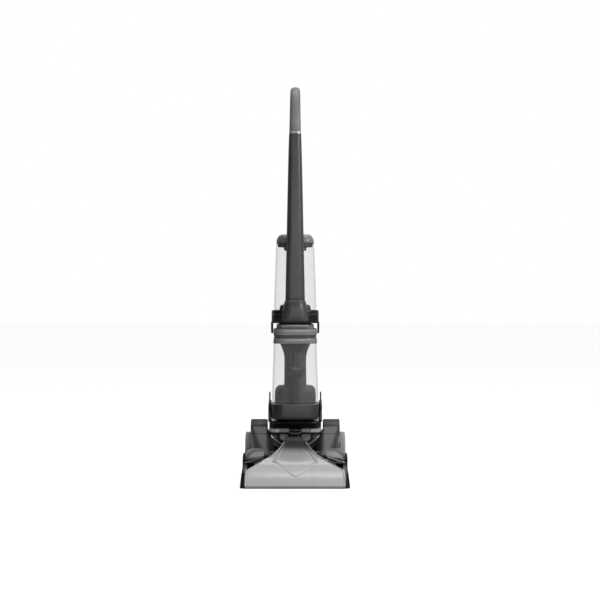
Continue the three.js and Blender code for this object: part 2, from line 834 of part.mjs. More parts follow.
function handleSocket() {
  const outer = [
    level(452, 35, -91, -60, 8, 16),
    level(470, 34, -94, -60, 8, 18),
    level(496, 32, -93, -41, 8, 18),
    level(512, 29, -88, -41, 8, 16),
  ];
  const clearOfCollar = collarLevels.map((l) => ({
    ...l,
    halfX: l.halfX + gap,
    y0: l.y0 - gap,
    y1: l.y1 + gap,
  }));
  const collarSpace = stack(between(clearOfCollar, collarBottomZ - 5, collarTopZ + gap));
  const stickSpace = stack([atHeight(stickLevels[0], 440), ...stickLevels], -gap);
  return stack(outer).subtract(collarSpace).subtract(stickSpace);
}

// The closed loop at the top, drawn in the side view. Its front limb stands on the stick.
const gripBackX = 64; // the trigger's pin
const loopRise = 140; // the height the loop is drawn at, stretched from the stick's top to the machine's

function up(rise) {
  return stickTopZ + (rise * (machineHeight - stickTopZ)) / loopRise;
}

const gripPinZ = up(114);

function loopOutline() {
  const smooth = (points, steps) => new THREE.SplineCurve(points.map((p) => new THREE.Vector2(...p))).getPoints(steps);
  const low = stickTopZ;
  const front = smooth(
    [[-60, low + gap], [-54, up(30)], [-40, up(70)], [-14, up(110)], [20, up(133)], [54, machineHeight]],
    16,
  );
  const back = smooth(
    [[54, machineHeight], [84, up(132)], [102, up(108)], [102, up(76)], [84, up(40)], [52, up(4)], [10, low - 32]],
    18,
  );
  const foot = smooth([[10, low - 32], [-16, low - 52], [-38.5, low - 66]], 3);
  const corner = new THREE.Vector2(-32.2, stickTopZ);
  const outline = new THREE.Shape([...front, ...back.slice(1), ...foot.slice(1), corner].reverse());
  const fingers = [
    ...[[-22, up(20)], [-15, up(58)], [4, up(90)], [32, up(107)], [60, up(106)], [73, up(88)]],
    ...[[62, up(54)], [34, up(22)], [6, up(2)]],
  ];
  const ring = new THREE.CatmullRomCurve3(fingers.map(([y, z]) => new THREE.Vector3(y, z, 0)), true);
  outline.holes.push(new THREE.Path(ring.getPoints(26).slice(0, -1).map((p) => new THREE.Vector2(p.x, p.y))));
  return outline;
}

function grip() {
  const bevel = 4.5;
  const half = 16.4;
  const geometry = sideways(loopOutline(), -half + bevel, half - bevel, {
    bevelEnabled: true,
    bevelSize: bevel,
    bevelOffset: -bevel,
    bevelThickness: bevel,
    bevelSegments: 2,
    curveSegments: 5,
  });
  const place = geometry.attributes.position;
  for (let i = 0; i < place.count; i++) {
    const rise = THREE.MathUtils.clamp((place.getZ(i) - stickTopZ) / (machineHeight - stickTopZ), 0, 1);
    place.setX(i, place.getX(i) * (1 - 0.15 * rise));
  }
  const slot = box(-7.3, 7.3, -4, gripBackX + 8, up(80), up(128));
  return solid(geometry)
    .subtract(slot)
    .subtract(stack(between(stickLevels, stickBottomZ, stickTopZ + gap / 2), -gap))
    .subtract(rodX(2 + play, -12, 12, gripBackX, gripPinZ, 12));
}

function trigger() {
  const p = (y, rise) => new THREE.Vector2(y, up(rise));
  const outline = new THREE.Shape();
  outline.moveTo(gripBackX + 5, up(111));
  outline.splineThru([p(gripBackX + 2, 118), p(gripBackX - 6, 118), p(40, 113), p(12, 102)]);
  outline.splineThru([p(2, 94), p(4, 88), p(16, 91), p(36, 97), p(52, 99), p(62, 104)]);
  outline.closePath();
  const lever = solid(sideways(outline, -6.5, 6.5, { curveSegments: 3 }));
  return lever.subtract(rodX(2 + play, -12, 12, gripBackX, gripPinZ, 12));
}

function upperHookZ() {
  return stickTopZ - 96;
}

function cordHook(z, y0, up) {
  const stub = rodY(6, y0, -20, 0, z, 20);
  const arm = up > 0 ? box(-6, 6, -25, -20, z, z + 32) : box(-6, 6, -25, -20, z - 32, z);
  return stub.add(arm);
}

// ---- Dirty water tank --------------------------------------------------------------------------

const trayLevels = [
  level(tankBottomZ, 63, tankFrontY, tankBackY + 2, 12, 30),
  level(tankBottomZ + 5, 66, tankFrontY - 2, tankBackY + 3, 14, 34),
  level(trayTopZ, 66.5, tankFrontY - 2, tankBackY + 3, 14, 34),
];

const tankLevels = [
  level(trayTopZ + gap, 65, tankFrontY, tankBackY, 14, 34),
  level(300, 62.5, tankFrontY + 1, tankBackY, 14, 34),
  level(tankTopZ, 60, tankFrontY + 2, tankBackY, 14, 33),
];

function tankTray() {
  const hollow = between(trayLevels, tankBottomZ - 1, trayTopZ - shellWall);
  const boss = rodZ(ductRadius + 5, tankBottomZ + 1, trayTopZ - 1, 0, inletY, 24);
  return stack(trayLevels)
    .subtract(stack(hollow, shellWall))
    .add(boss)
    .subtract(rodZ(ductRadius + 1 + gap, tankBottomZ - 2, trayTopZ + 1, 0, inletY, 24));
}

function tankShell() {
  const inner = between(tankLevels, trayTopZ + gap + tankWall, tankTopZ + 1);
  return stack(tankLevels, 0, 6)
    .subtract(stack(inner, tankWall, 6))
    .subtract(rodZ(ductRadius + 1 + gap, trayTopZ - 1, trayTopZ + 5, 0, inletY, 24));
}

const tubeTopZ = tankTopZ - 22;
const floatRestZ = 300;

function inletTube() {
  const r = ductRadius + 1;
  const stopZ = floatRestZ - gap;
  const profile = [
    [r - 2.2, tankBottomZ + 1],
    [r, tankBottomZ + 1],
    [r, stopZ - 3],
    [r + 6, stopZ - 3],
    [r + 6, stopZ],
    [r, stopZ],
    [r - 0.5, tubeTopZ],
    [r - 2.7, tubeTopZ],
  ];
  return solid(turned(profile, 24).translate(0, inletY, 0));
}

function tankFloat() {
  const at = (z, inset) => level(z, 27 - inset, inletY - 20 + inset, inletY + 20.4 - inset, 9);
  const z = floatRestZ;
  const body = stack([at(z, 1.5), at(z + 2, 0), at(z + 21, 0), at(z + 23, 1.5)]);
  return body.subtract(rodZ(ductRadius + 1 + play, z - 1, z + 24, 0, inletY, 24));
}

const lidZ = { seal: 405, upper: 414, neck: 433 };
const sealDepth = 4;

function lidRim(z, inset) {
  return level(z, 61 - inset, tankFrontY + inset, tankBackY + 1 - inset, 14, 34 - inset / 2);
}

function tankLid() {
  const outside = [
    [tankTopZ + gap, 0],
    [lidZ.seal, 0],
    [lidZ.seal, sealDepth],
    [lidZ.upper, sealDepth],
    [lidZ.upper, 0],
    [lidZ.neck, 0],
    [lidZ.neck, 9],
    [lidTopZ, 9],
  ];
  const plenum = [lidRim(tankTopZ - 1, 6), lidRim(lidZ.neck - 3, 6)];
  return stack(outside.map(([z, inset]) => lidRim(z, inset)))
    .subtract(stack(plenum))
    .subtract(rodZ(outletRadius, lidZ.neck - 6, lidTopZ + 1, 0, outletY, 24));
}

function lidSeal() {
  const z0 = lidZ.seal + gap;
  const z1 = lidZ.upper - gap;
  const outer = stack([lidRim(z0, 1), lidRim(z1, 1)]);
  return outer.subtract(stack([lidRim(z0 - 1, sealDepth - gap), lidRim(z1 + 1, sealDepth - gap)]));
}

function releaseBar() {
  const y1 = tankFrontY + 9 - 4;
  return stack([level(lidZ.neck + 1.3, 40, y1 - 5, y1, 1.5, 2), level(lidTopZ - 1.5, 40, y1 - 5, y1, 1.5, 2)]);
}

// ---- Clean water tank --------------------------------------------------------------------------

const cleanLevels = [
  level(cleanBottomZ, 58, -34, 94, 34, 30),
  level(cleanBottomZ + 6, 59.6, -36, 96, 34, 30),
  level(580, 57, -35, 91, 33, 29),
  level(cleanTopZ, 53.6, -33, 84, 31, 27),
];

function cleanShell() {
  const inner = between(cleanLevels, cleanBottomZ + tankWall, cleanTopZ + 1);
  return stack(cleanLevels, 0, 6)
    .subtract(stack(inner, tankWall, 6))
    .subtract(rodZ(9, cleanBottomZ - 1, cleanBottomZ + 5, 0, valveY, 20));
}

function cleanCap() {
  const at = (z, inset) => level(z, 53.6 - inset, -33 + inset, 84 - inset, 31 - inset, 27 - inset);
  const crown = stack([
    at(cleanTopZ + gap, 1.2),
    at(cleanTopZ + 12, 0.8),
    at(capTopZ - 5, 3.5),
    at(capTopZ, 10),
  ]);
  const plug = stack([at(cleanTopZ - 9, 4), at(cleanTopZ + 1, 4)]);
  const step = stack([at(cleanTopZ - 19, 22), at(cleanTopZ - 8, 22)]);
  const filler = rodZ(17, cleanTopZ - 30, capTopZ + 1, 0, valveY, 28);
  return crown.add(plug).add(step).subtract(filler);
}

function cleanValve() {
  const floorZ = cleanBottomZ + tankWall + gap;
  const boss = stack([level(floorZ, 42, -8, 62, 16), level(floorZ + 11, 40, -6, 60, 15)]);
  const stem = rodZ(8, collarTopZ - 5, floorZ + 1, 0, valveY, 20);
  return boss.add(stem);
}

function fillCap() {
  const plug = rodZ(16.5, cleanTopZ - 12, capTopZ + 2, 0, valveY, 28);
  const head = rodZ(20, capTopZ + gap, capTopZ + 7, 0, valveY, 28);
  const bar = box(-16, 16, valveY - 3, valveY + 3, capTopZ + 6, capTopZ + 10);
  return plug.add(head).add(bar);
}

// ---- Assembly ----------------------------------------------------------------------------------

const machine = new THREE.Group();

function place(name, made, finish) {
  const mesh = new THREE.Mesh(geometryOf(made), materials[finish]);
  mesh.name = name;
  machine.add(mesh);
}

place("foot_base", footBase(), "black_plastic");
place("brush_hood", brushHood(), "black_plastic");
place("deck_cover", deckCover(), "silver_plastic");
place("pivot_arm_left", pivotArm(), "graphite_plastic");
place("pivot_arm_right", mirrored(pivotArm()), "graphite_plastic");
place("knuckle_cap_left", knuckleCap(), "silver_plastic");
place("knuckle_cap_right", mirrored(knuckleCap()), "silver_plastic");
place("pivot_pin_left", pivotPin(), "steel");
place("pivot_pin_right", mirrored(pivotPin()), "steel");
place("nozzle_duct", nozzleDuct(), "black_plastic");
place("spray_bar", sprayBar(), "black_plastic");
place("brush_motor", brushMotor(), "motor_steel");
place("drive_belt", driveBelt(), "seal_rubber");
place("brush_bearing_left", brushBearing(121, chamberHalf - gap), "black_plastic");
place("brush_bearing_right", brushBearing(-chamberHalf + gap, beltX - 5), "black_plastic");
place("rear_axle", rodX(axleRadius, -wheelInnerX - 14, wheelInnerX + 14, wheelY, wheelRadius, 16), "steel");
place("water_pump", waterPump(), "black_plastic");
place("recline_pedal", recliningPedal(), "black_plastic");

place("motor_pulley", pulley(motorPulleyRadius, brushMotorY, brushMotorZ, 3 + play), "steel");
place("brush_roll", brushRoll(), "bristle");
place("brush_pulley", pulley(brushPulleyRadius, brushY, brushZ, axleRadius + play), "graphite_plastic");

place("wheel_hub_left", onAxle(hubGeometry(), 1), "silver_plastic");
place("wheel_tyre_left", onAxle(tyreGeometry(), 1), "tyre_rubber");
place("wheel_hub_right", onAxle(hubGeometry(), -1), "silver_plastic");
place("wheel_tyre_right", onAxle(tyreGeometry(), -1), "tyre_rubber");

place("nozzle_window", nozzleWindow(), "smoke_window");
place("nozzle_rear_plate", nozzleRearPlate(), "black_plastic");
place("nozzle_lip", nozzleLip(), "lip_rubber");
place("nozzle_latch", nozzleLatch(), "black_plastic");

place("suction_hose", suctionHose(), "seal_rubber");
place("neck_drum", neckDrum(), "silver_plastic");
place("inlet_elbow", inletElbow(), "black_plastic");
place("cradle", cradle(), "black_plastic");
place("motor_housing", motorHousing(), "graphite_plastic");
place("vacuum_motor", vacuumMotor(), "motor_steel");
place("impeller", impeller(), "motor_steel");
place("power_button", powerButton(), "grip_plastic");
place("cord_gland", cordGland(), "seal_rubber");
place("column", column(), "graphite_plastic");
place("water_line", waterLine(), "seal_rubber");
place("collar", collar(), "black_plastic");

place("handle_socket", handleSocket(), "graphite_plastic");
place("stick", stick(), "graphite_plastic");
place("grip", grip(), "grip_plastic");
place("trigger", trigger(), "black_plastic");
place("trigger_pin", rodX(2, -11, 11, gripBackX, gripPinZ, 12), "steel");
place("cord_hook_upper", cordHook(upperHookZ(), -40 + gap, 1), "black_plastic");
place("cord_hook_lower", cordHook(760, -44.3, -1), "black_plastic");

place("dirty_tank_tray", tankTray(), "black_plastic");
place("dirty_tank_shell", tankShell(), "clear_plastic");
place("inlet_tube", inletTube(), "smoke_plastic");
place("tank_float", tankFloat(), "smoke_plastic");
place("tank_lid", tankLid(), "smoke_plastic");
place("lid_seal", lidSeal(), "seal_rubber");
place("tank_release_bar", releaseBar(), "silver_plastic");

place("clean_tank_shell", cleanShell(), "clear_plastic");
place("clean_tank_cap", cleanCap(), "graphite_plastic");
place("clean_tank_valve", cleanValve(), "graphite_plastic");
place("fill_cap", fillCap(), "black_plastic");

export default machine;
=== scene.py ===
"""Upright carpet washer: the moulded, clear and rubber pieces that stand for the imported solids.

Lengths in this file are millimetres unless a name says otherwise, and become metres where a mesh is made.
+Z is up, the floor head's front faces -Y, and each piece lies where its solid lies.
"""

import json
import math

import bmesh
import bpy
import numpy as np
from mathutils import Matrix, Vector


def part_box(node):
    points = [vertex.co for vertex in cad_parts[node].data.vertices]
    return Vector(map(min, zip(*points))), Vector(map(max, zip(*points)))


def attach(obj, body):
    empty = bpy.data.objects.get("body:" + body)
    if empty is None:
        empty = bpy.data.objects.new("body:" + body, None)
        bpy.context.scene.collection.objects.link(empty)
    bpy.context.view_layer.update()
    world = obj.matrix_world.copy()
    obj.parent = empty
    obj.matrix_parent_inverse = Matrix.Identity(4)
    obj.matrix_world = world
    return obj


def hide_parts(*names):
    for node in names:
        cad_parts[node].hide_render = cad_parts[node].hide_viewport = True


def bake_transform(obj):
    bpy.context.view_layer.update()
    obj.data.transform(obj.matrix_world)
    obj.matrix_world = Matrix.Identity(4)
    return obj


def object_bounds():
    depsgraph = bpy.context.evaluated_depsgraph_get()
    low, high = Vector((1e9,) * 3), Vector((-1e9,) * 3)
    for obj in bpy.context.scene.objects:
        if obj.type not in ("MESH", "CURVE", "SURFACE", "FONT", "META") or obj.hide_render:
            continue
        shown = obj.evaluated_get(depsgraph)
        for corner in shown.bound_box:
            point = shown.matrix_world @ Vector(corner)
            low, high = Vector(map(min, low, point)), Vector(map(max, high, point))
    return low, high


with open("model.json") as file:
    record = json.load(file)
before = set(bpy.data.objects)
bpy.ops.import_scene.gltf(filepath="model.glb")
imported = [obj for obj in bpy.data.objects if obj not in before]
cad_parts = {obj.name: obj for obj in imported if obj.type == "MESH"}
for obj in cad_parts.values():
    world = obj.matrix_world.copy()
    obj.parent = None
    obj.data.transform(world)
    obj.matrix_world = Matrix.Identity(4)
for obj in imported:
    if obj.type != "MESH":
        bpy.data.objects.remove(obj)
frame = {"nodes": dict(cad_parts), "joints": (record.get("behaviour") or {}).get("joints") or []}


def corners(bounds):
    return [[float(v) for v in corner] for corner in bounds]


cad_size = corners(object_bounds())

# ---- Camera -------------------------------------------------------------------------------------

eye = bpy.data.cameras.new("eye")
eye.lens = 88.75
eye.sensor_width = 36
eye.clip_end = 60
camera = bpy.data.objects.new("camera", eye)
camera.location = (0.0136, cad_size[0][1] - 4.0, 0.512)
camera.rotation_euler = (math.radians(90), 0, 0)
bpy.context.scene.collection.objects.link(camera)
bpy.context.scene.camera = camera

# ---- Materials ----------------------------------------------------------------------------------


def linear(hex_colour):
    """An sRGB colour such as '#3a3b3d' as linear red, green, blue and alpha."""
    parts = [int(hex_colour[i : i + 2], 16) / 255 for i in (1, 3, 5)]
    return [p / 12.92 if p <= 0.04045 else ((p + 0.055) / 1.055) ** 2.4 for p in parts] + [1.0]


def add(tree, kind, sockets=None, **settings):
    """Adds a node. A socket takes a value, or the output that feeds it."""
    made = tree.nodes.new(kind)
    for name, value in settings.items():
        setattr(made, name, value)
    for name, value in (sockets or {}).items():
        if isinstance(value, bpy.types.NodeSocket):
            tree.links.new(value, made.inputs[name])
        else:
            made.inputs[name].default_value = value
    return made


def blank(name, sockets):
    """A material with one Principled shader whose plain values are set here."""
    made = bpy.data.materials.new(name)
    made.use_nodes = True
    tree = made.node_tree
    tree.nodes.clear()
    shader = add(tree, "ShaderNodeBsdfPrincipled", sockets)
    out = add(tree, "ShaderNodeOutputMaterial")
    tree.links.new(shader.outputs[0], out.inputs["Surface"])
    return made, tree, shader


def ramp(tree, source, stops):
    """A colour ramp from (position, sRGB hex or grey) stops."""
    made = add(tree, "ShaderNodeValToRGB", {"Fac": source})
    bar = made.color_ramp
    for i, (position, colour) in enumerate(stops):
        element = bar.elements[i] if i < 2 else bar.elements.new(position)
        element.position = position
        element.color = linear(colour) if isinstance(colour, str) else [colour] * 3 + [1.0]
    return made.outputs[0]


def moulded(name, colour, worn, roughness, grain_mm, grain_depth_mm, extra=None, sheen_mm=60, painted_light_stops=None):
    """A moulded surface: the mould's spark-eroded grain, slow changes of gloss, and edges rubbed lighter.

    painted_light_stops are (height in mm, share of the colour) stops of painted light and shade, which darken
    the colour by height, towards one end or away from a brighter band.
    """
    made, tree, shader = blank(name, extra or {})
    place = add(tree, "ShaderNodeTexCoord").outputs["Object"]
    grain = add(tree, "ShaderNodeTexNoise", {"Vector": place, "Scale": 1000 / grain_mm, "Detail": 3.0})
    slow = add(tree, "ShaderNodeTexNoise", {"Vector": place, "Scale": 1000 / sheen_mm, "Detail": 4.0})
    edge = add(tree, "ShaderNodeNewGeometry").outputs["Pointiness"]
    rubbed = ramp(tree, edge, [(0.52, 0.0), (0.62, 1.0)])
    patchy = ramp(tree, slow.outputs[0], [(0.35, colour), (0.7, worn)])
    lighter = add(tree, "ShaderNodeMix", {"Factor": rubbed, "A": patchy, "B": linear(worn)}, data_type="RGBA")
    tone = lighter.outputs["Result"]
    # Painted light and shade: the colour is multiplied down by height.
    if painted_light_stops:
        low, high = painted_light_stops[0][0], painted_light_stops[-1][0]
        height = add(tree, "ShaderNodeSeparateXYZ", {"Vector": place}).outputs["Z"]
        span = {"Value": height, "From Min": low / 1000, "From Max": high / 1000}
        rise = add(tree, "ShaderNodeMapRange", span)
        share = ramp(tree, rise.outputs[0], [((z - low) / (high - low), part) for z, part in painted_light_stops])
        blend = {"Factor": 1.0, "A": tone, "B": share}
        painted_light_and_shade = add(tree, "ShaderNodeMix", blend, data_type="RGBA", blend_type="MULTIPLY")
        tone = painted_light_and_shade.outputs["Result"]
    tree.links.new(tone, shader.inputs["Base Color"])
    gloss = ramp(tree, slow.outputs[0], [(0.3, roughness - 0.05), (0.7, roughness + 0.06)])
    tree.links.new(gloss, shader.inputs["Roughness"])
    depth = {"Height": grain.outputs[0], "Strength": 1.0, "Distance": grain_depth_mm / 1000}
    bump = add(tree, "ShaderNodeBump", depth)
    tree.links.new(bump.outputs[0], shader.inputs["Normal"])
    return made


# Moulded ABS from a fine spark-eroded tool: a satin dark grey whose grain breaks up reflections.
graphite_abs = moulded("graphite_abs", "#3b3c3f", "#46474a", 0.4, 0.9, 0.02, {"IOR": 1.54})
# A darker batch for the deck, pods and motor cover, from a smoother tool.
deck_abs = moulded("deck_abs", "#27282a", "#303133", 0.34, 0.9, 0.02, {"IOR": 1.52})
# The pivot covers' batch: a little darker and duller than the deck.
cover_abs = moulded("cover_abs", "#1a1b1c", "#222325", 0.46, 0.9, 0.02, {"IOR": 1.45})
# The arms' ABS, with painted shade that runs down into near black at each toe.
arm_abs_painted_toe_shade = moulded(
    "arm_abs_painted_toe_shade",
    "#2c2d2f",
    "#353638",
    0.36,
    0.9,
    0.02,
    {"IOR": 1.5},
    painted_light_stops=[(80, 0.1), (98, 0.25), (114, 0.8), (126, 1.0)],
)
# Pale grey ABS of the thin rim lines along the arms and the nozzle's neck: painted highlight, where their
# rounded edges catch the light.
pale_abs_painted_highlight = moulded("pale_abs_painted_highlight", "#a9aaac", "#c9cacb", 0.3, 0.9, 0.01, {"IOR": 1.54})
# The same ABS dyed black, from a smoother tool, so that it takes a clearer highlight.
dulled = {"IOR": 1.5, "Specular IOR Level": 0.4}
black_abs = moulded("black_abs", "#0f1011", "#18191a", 0.26, 0.8, 0.015, dulled)
# Black ABS from a coarse tool, for the underside and the inner walls: no clear highlight.
coarse_abs = moulded("coarse_abs", "#1b1c1e", "#2a2b2d", 0.55, 1.4, 0.06, {"IOR": 1.54})
# A mid grey ABS of the clean tank's cap: satin, lighter than the handle.
cap_abs = moulded("cap_abs", "#7a7b7d", "#858688", 0.36, 0.9, 0.02, {"IOR": 1.54})
# Polished black ABS for the tank's tray: long soft reflections.
polished_abs = moulded("polished_abs", "#1d1e20", "#232426", 0.2, 2.0, 0.004, {"IOR": 1.54})
# Overmoulded elastomer of the grip: lighter, matt, a little powdery at grazing angles.
grip_elastomer = moulded(
    "grip_elastomer",
    "#7c7d7f",
    "#88898b",
    0.48,
    1.0,
    0.03,
    {"IOR": 1.5, "Sheen Weight": 0.1, "Sheen Roughness": 0.4},
    # Painted highlight and shade: brightest at 1010 mm near the grip's foot, darker below it and towards the
    # top.
    painted_light_stops=[(960, 0.7), (1010, 1.0), (1040, 0.8), (1075, 0.6), (1120, 0.42)],
)
# Grey thermoplastic rubber of the tyres: matt, with a coarse grain and dusty high spots.
tyre_rubber = moulded("tyre_rubber", "#8d8e90", "#a9aaac", 0.62, 1.6, 0.08, {"IOR": 1.52})
# Soft grey rubber of the nozzle's squeegee lip: smooth, and scuffed where it drags.
lip_rubber = moulded("lip_rubber", "#828385", "#909193", 0.6, 1.0, 0.03, {"IOR": 1.52})
# Black EPDM rubber of the hose, seals and belt: matt with a slight bloom.
black_rubber = moulded("black_rubber", "#141415", "#2a2a2b", 0.66, 1.2, 0.05, {"IOR": 1.52})
# Smooth grey silicone of the lid's seal: a soft highlight along its middle.
seal_silicone = moulded("seal_silicone", "#4f5052", "#5a5b5d", 0.34, 1.5, 0.01, {"IOR": 1.44})
# Nylon bristle: dark translucent filament, smooth and a little glossy.
nylon_bristle = moulded("nylon_bristle", "#24262a", "#3a3d42", 0.38, 3.0, 0.01, {"IOR": 1.53})


def lacquered(name, colour, light, roughness):
    """ABS under silver lacquer: aluminium flake about 0.1 mm across, drawn coarser so that it shows."""
    made, tree, shader = blank(name, {"Metallic": 0.55, "Coat Weight": 0.25, "Coat Roughness": 0.15})
    place = add(tree, "ShaderNodeTexCoord").outputs["Object"]
    flake = add(tree, "ShaderNodeTexVoronoi", {"Vector": place, "Scale": 1000 / 0.7})
    slow = add(tree, "ShaderNodeTexNoise", {"Vector": place, "Scale": 1000 / 50, "Detail": 3.0})
    sparkle = ramp(tree, flake.outputs["Color"], [(0.2, colour), (0.9, light)])
    tree.links.new(sparkle, shader.inputs["Base Color"])
    gloss = ramp(tree, slow.outputs[0], [(0.3, roughness - 0.05), (0.7, roughness + 0.06)])
    tree.links.new(gloss, shader.inputs["Roughness"])
    depth = {"Height": flake.outputs["Distance"], "Strength": 0.4, "Distance": 0.00001}
    bump = add(tree, "ShaderNodeBump", depth)
    tree.links.new(bump.outputs[0], shader.inputs["Normal"])
    return made


# Silver-lacquered ABS of the shoulders, drum and hubs: a soft metallic sheen under a clear coat.
silver_lacquer = lacquered("silver_lacquer", "#77787a", "#96979a", 0.34)
# A darker copy of it for the shoulders, which face the light: painted shade that holds their highlight down.
shoulder_lacquer_painted_shade = lacquered("shoulder_lacquer_painted_shade", "#4c4d50", "#66676a", 0.4)
# A paler copy of the lacquer, for the drum, the well's first rim and the flange round the window: painted
# light that lifts them out of their shade. The wheel hubs wear it too.
pale_lacquer_painted_light = lacquered("pale_lacquer_painted_light", "#b8b9bb", "#d2d3d5", 0.3)
# Brighter lacquer of the thin trim lines: painted highlight.
lacquer_painted_highlight = lacquered("lacquer_painted_highlight", "#b9babc", "#dcddde", 0.22)


def clear_moulding(name, colour, edge_colour, least, most, roughness, extra=None, streak_mm=90):
    """A clear moulding with thin walls: nearly all seen through face on, and greyer where it turns away."""
    made, tree, shader = blank(name, {"IOR": 1.56, "Specular IOR Level": 0.5, **(extra or {})})
    place = add(tree, "ShaderNodeTexCoord").outputs["Object"]
    flow = add(tree, "ShaderNodeTexNoise", {"Vector": place, "Scale": 1000 / streak_mm, "Detail": 2.0})
    turning = add(tree, "ShaderNodeLayerWeight", {"Blend": 0.5}).outputs["Facing"]
    shades = {"Factor": turning, "A": linear(colour), "B": linear(edge_colour)}
    tint = add(tree, "ShaderNodeMix", shades, data_type="RGBA")
    tree.links.new(tint.outputs["Result"], shader.inputs["Base Color"])
    cover = [(0.0, least), (1.0, most), (0.62, least * 1.2), (0.84, (least + most) / 2.4)]
    solid = ramp(tree, turning, cover)
    tree.links.new(solid, shader.inputs["Alpha"])
    gloss = ramp(tree, flow.outputs[0], [(0.3, roughness), (0.7, roughness + 0.05)])
    tree.links.new(gloss, shader.inputs["Roughness"])
    bump = add(tree, "ShaderNodeBump", {"Height": flow.outputs[0], "Strength": 0.12, "Distance": 0.0002})
    tree.links.new(bump.outputs[0], shader.inputs["Normal"])
    return made


# Clear SAN of the two tanks: water-clear walls with grey edges and faint flow lines.
clear_san = clear_moulding("clear_san", "#aeb0b2", "#808285", 0.075, 0.6, 0.05)
# Smoke-tinted SAN of the lid, thick enough to hide what is behind it.
smoke_san = clear_moulding("smoke_san", "#9c9d9f", "#56575a", 0.8, 1.0, 0.16)
# The same smoke SAN in a thin wall, for the inlet tube, float and its cage: the column shows through.
thin_smoke_san = clear_moulding("thin_smoke_san", "#4a4b4e", "#85868a", 0.4, 0.9, 0.1)


# The window's colour by height, as a fifth of a metre: the pale duct floor behind it, lightened in steps
# where its facets turn from the light, then painted shade on the neck.
window_colour_and_painted_shade = [
    (0.0, "#cfd0d1"),
    (0.17, "#cbcccd"),
    (0.25, "#d0d1d2"),
    (0.32, "#c0c1c2"),
    (0.37, "#a3a4a5"),
    (0.48, "#9d9ea0"),
    (0.52, "#7c7d7f"),
    (0.55, "#434446"),
    (0.6, "#36373a"),
    (0.64, "#56575a"),
]


def smoked_window():
    """Smoke-tinted SAN over the pale duct floor: an even mid grey, lightened low down against its facets'
    shading, with painted shade on the narrow neck.
    """
    made, tree, shader = blank("nozzle_san", {"IOR": 1.56, "Coat Weight": 0.35, "Coat Roughness": 0.06})
    place = add(tree, "ShaderNodeTexCoord").outputs["Object"]
    height = add(tree, "ShaderNodeSeparateXYZ", {"Vector": place}).outputs["Z"]
    flow = add(tree, "ShaderNodeTexNoise", {"Vector": place, "Scale": 1000 / 90, "Detail": 3.0})
    fifths = add(tree, "ShaderNodeMath", {0: height, 1: 5.0}, operation="MULTIPLY")
    uneven = {0: flow.outputs[0], 1: 0.04, 2: fifths.outputs[0]}
    wander = add(tree, "ShaderNodeMath", uneven, operation="MULTIPLY_ADD")
    # Painted light and shade: the colour follows height, lighter low down and dark on the neck.
    height_light_and_shade = ramp(tree, wander.outputs[0], window_colour_and_painted_shade)
    tree.links.new(height_light_and_shade, shader.inputs["Base Color"])
    gloss = ramp(tree, flow.outputs[0], [(0.3, 0.22), (0.7, 0.3)])
    tree.links.new(gloss, shader.inputs["Roughness"])
    bump = add(tree, "ShaderNodeBump", {"Height": flow.outputs[0], "Strength": 0.2, "Distance": 0.0003})
    tree.links.new(bump.outputs[0], shader.inputs["Normal"])
    return made


nozzle_san = smoked_window()


def metal(name, colour, roughness, streak_mm, along):
    """Steel with the fine lines of its turning or drawing, stretched along one axis."""
    made, tree, shader = blank(name, {"Metallic": 1.0})
    place = add(tree, "ShaderNodeTexCoord").outputs["Object"]
    stretch = [1000 / streak_mm] * 3
    stretch[along] /= 30
    lines = add(tree, "ShaderNodeMapping", {"Vector": place, "Scale": stretch})
    grain = add(tree, "ShaderNodeTexNoise", {"Vector": lines.outputs[0], "Scale": 1.0, "Detail": 3.0})
    tone = ramp(tree, grain.outputs[0], [(0.2, colour), (0.8, "#c9cbce")])
    tree.links.new(tone, shader.inputs["Base Color"])
    gloss = ramp(tree, grain.outputs[0], [(0.3, roughness - 0.08), (0.7, roughness + 0.08)])
    tree.links.new(gloss, shader.inputs["Roughness"])
    return made


# Zinc-plated steel of the axle, pins and screws: cool grey with faint turning lines.
zinc_steel = metal("zinc_steel", "#9fa1a5", 0.34, 0.8, 0)
# Pressed steel of the motor cans and fan, drawn round, a little darker.
pressed_steel = metal("pressed_steel", "#85878b", 0.42, 1.0, 2)

# ---- Mesh tools ---------------------------------------------------------------------------------


left_and_right = (("left", 1), ("right", -1))


def piece(name, points, faces, body, finish, stands_for=(), sharp=38):
    """Makes one piece from points in millimetres, closes its normals, and hands it to its body."""
    mesh = bpy.data.meshes.new(name)
    mesh.from_pydata([Vector(p) * 0.001 for p in points], [], faces)
    made = bpy.data.objects.new(name, mesh)
    bpy.context.scene.collection.objects.link(made)
    tidy = bmesh.new()
    tidy.from_mesh(mesh)
    bmesh.ops.remove_doubles(tidy, verts=tidy.verts, dist=1e-6)
    bmesh.ops.recalc_face_normals(tidy, faces=tidy.faces)
    tidy.to_mesh(mesh)
    tidy.free()
    return dress(made, body, finish, stands_for, sharp)


def dress(made, body, finish, stands_for=(), sharp=38):
    made.data.materials.clear()
    made.data.materials.append(finish)
    smoothed(made, sharp)
    if body:
        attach(made, body)
    if stands_for:
        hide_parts(*stands_for)
    return made


def settle(made):
    """Turns a piece's modifiers into its mesh."""
    graph = bpy.context.evaluated_depsgraph_get()
    mesh = bpy.data.meshes.new_from_object(made.evaluated_get(graph), depsgraph=graph)
    made.modifiers.clear()
    made.data = mesh
    return made


def round_edges(made, width, segments=3, angle=35):
    bevel = made.modifiers.new("round_edges", "BEVEL")
    bevel.width = width * 0.001
    bevel.segments = segments
    bevel.limit_method = "ANGLE"
    bevel.angle_limit = math.radians(angle)
    bevel.use_clamp_overlap = True
    return made


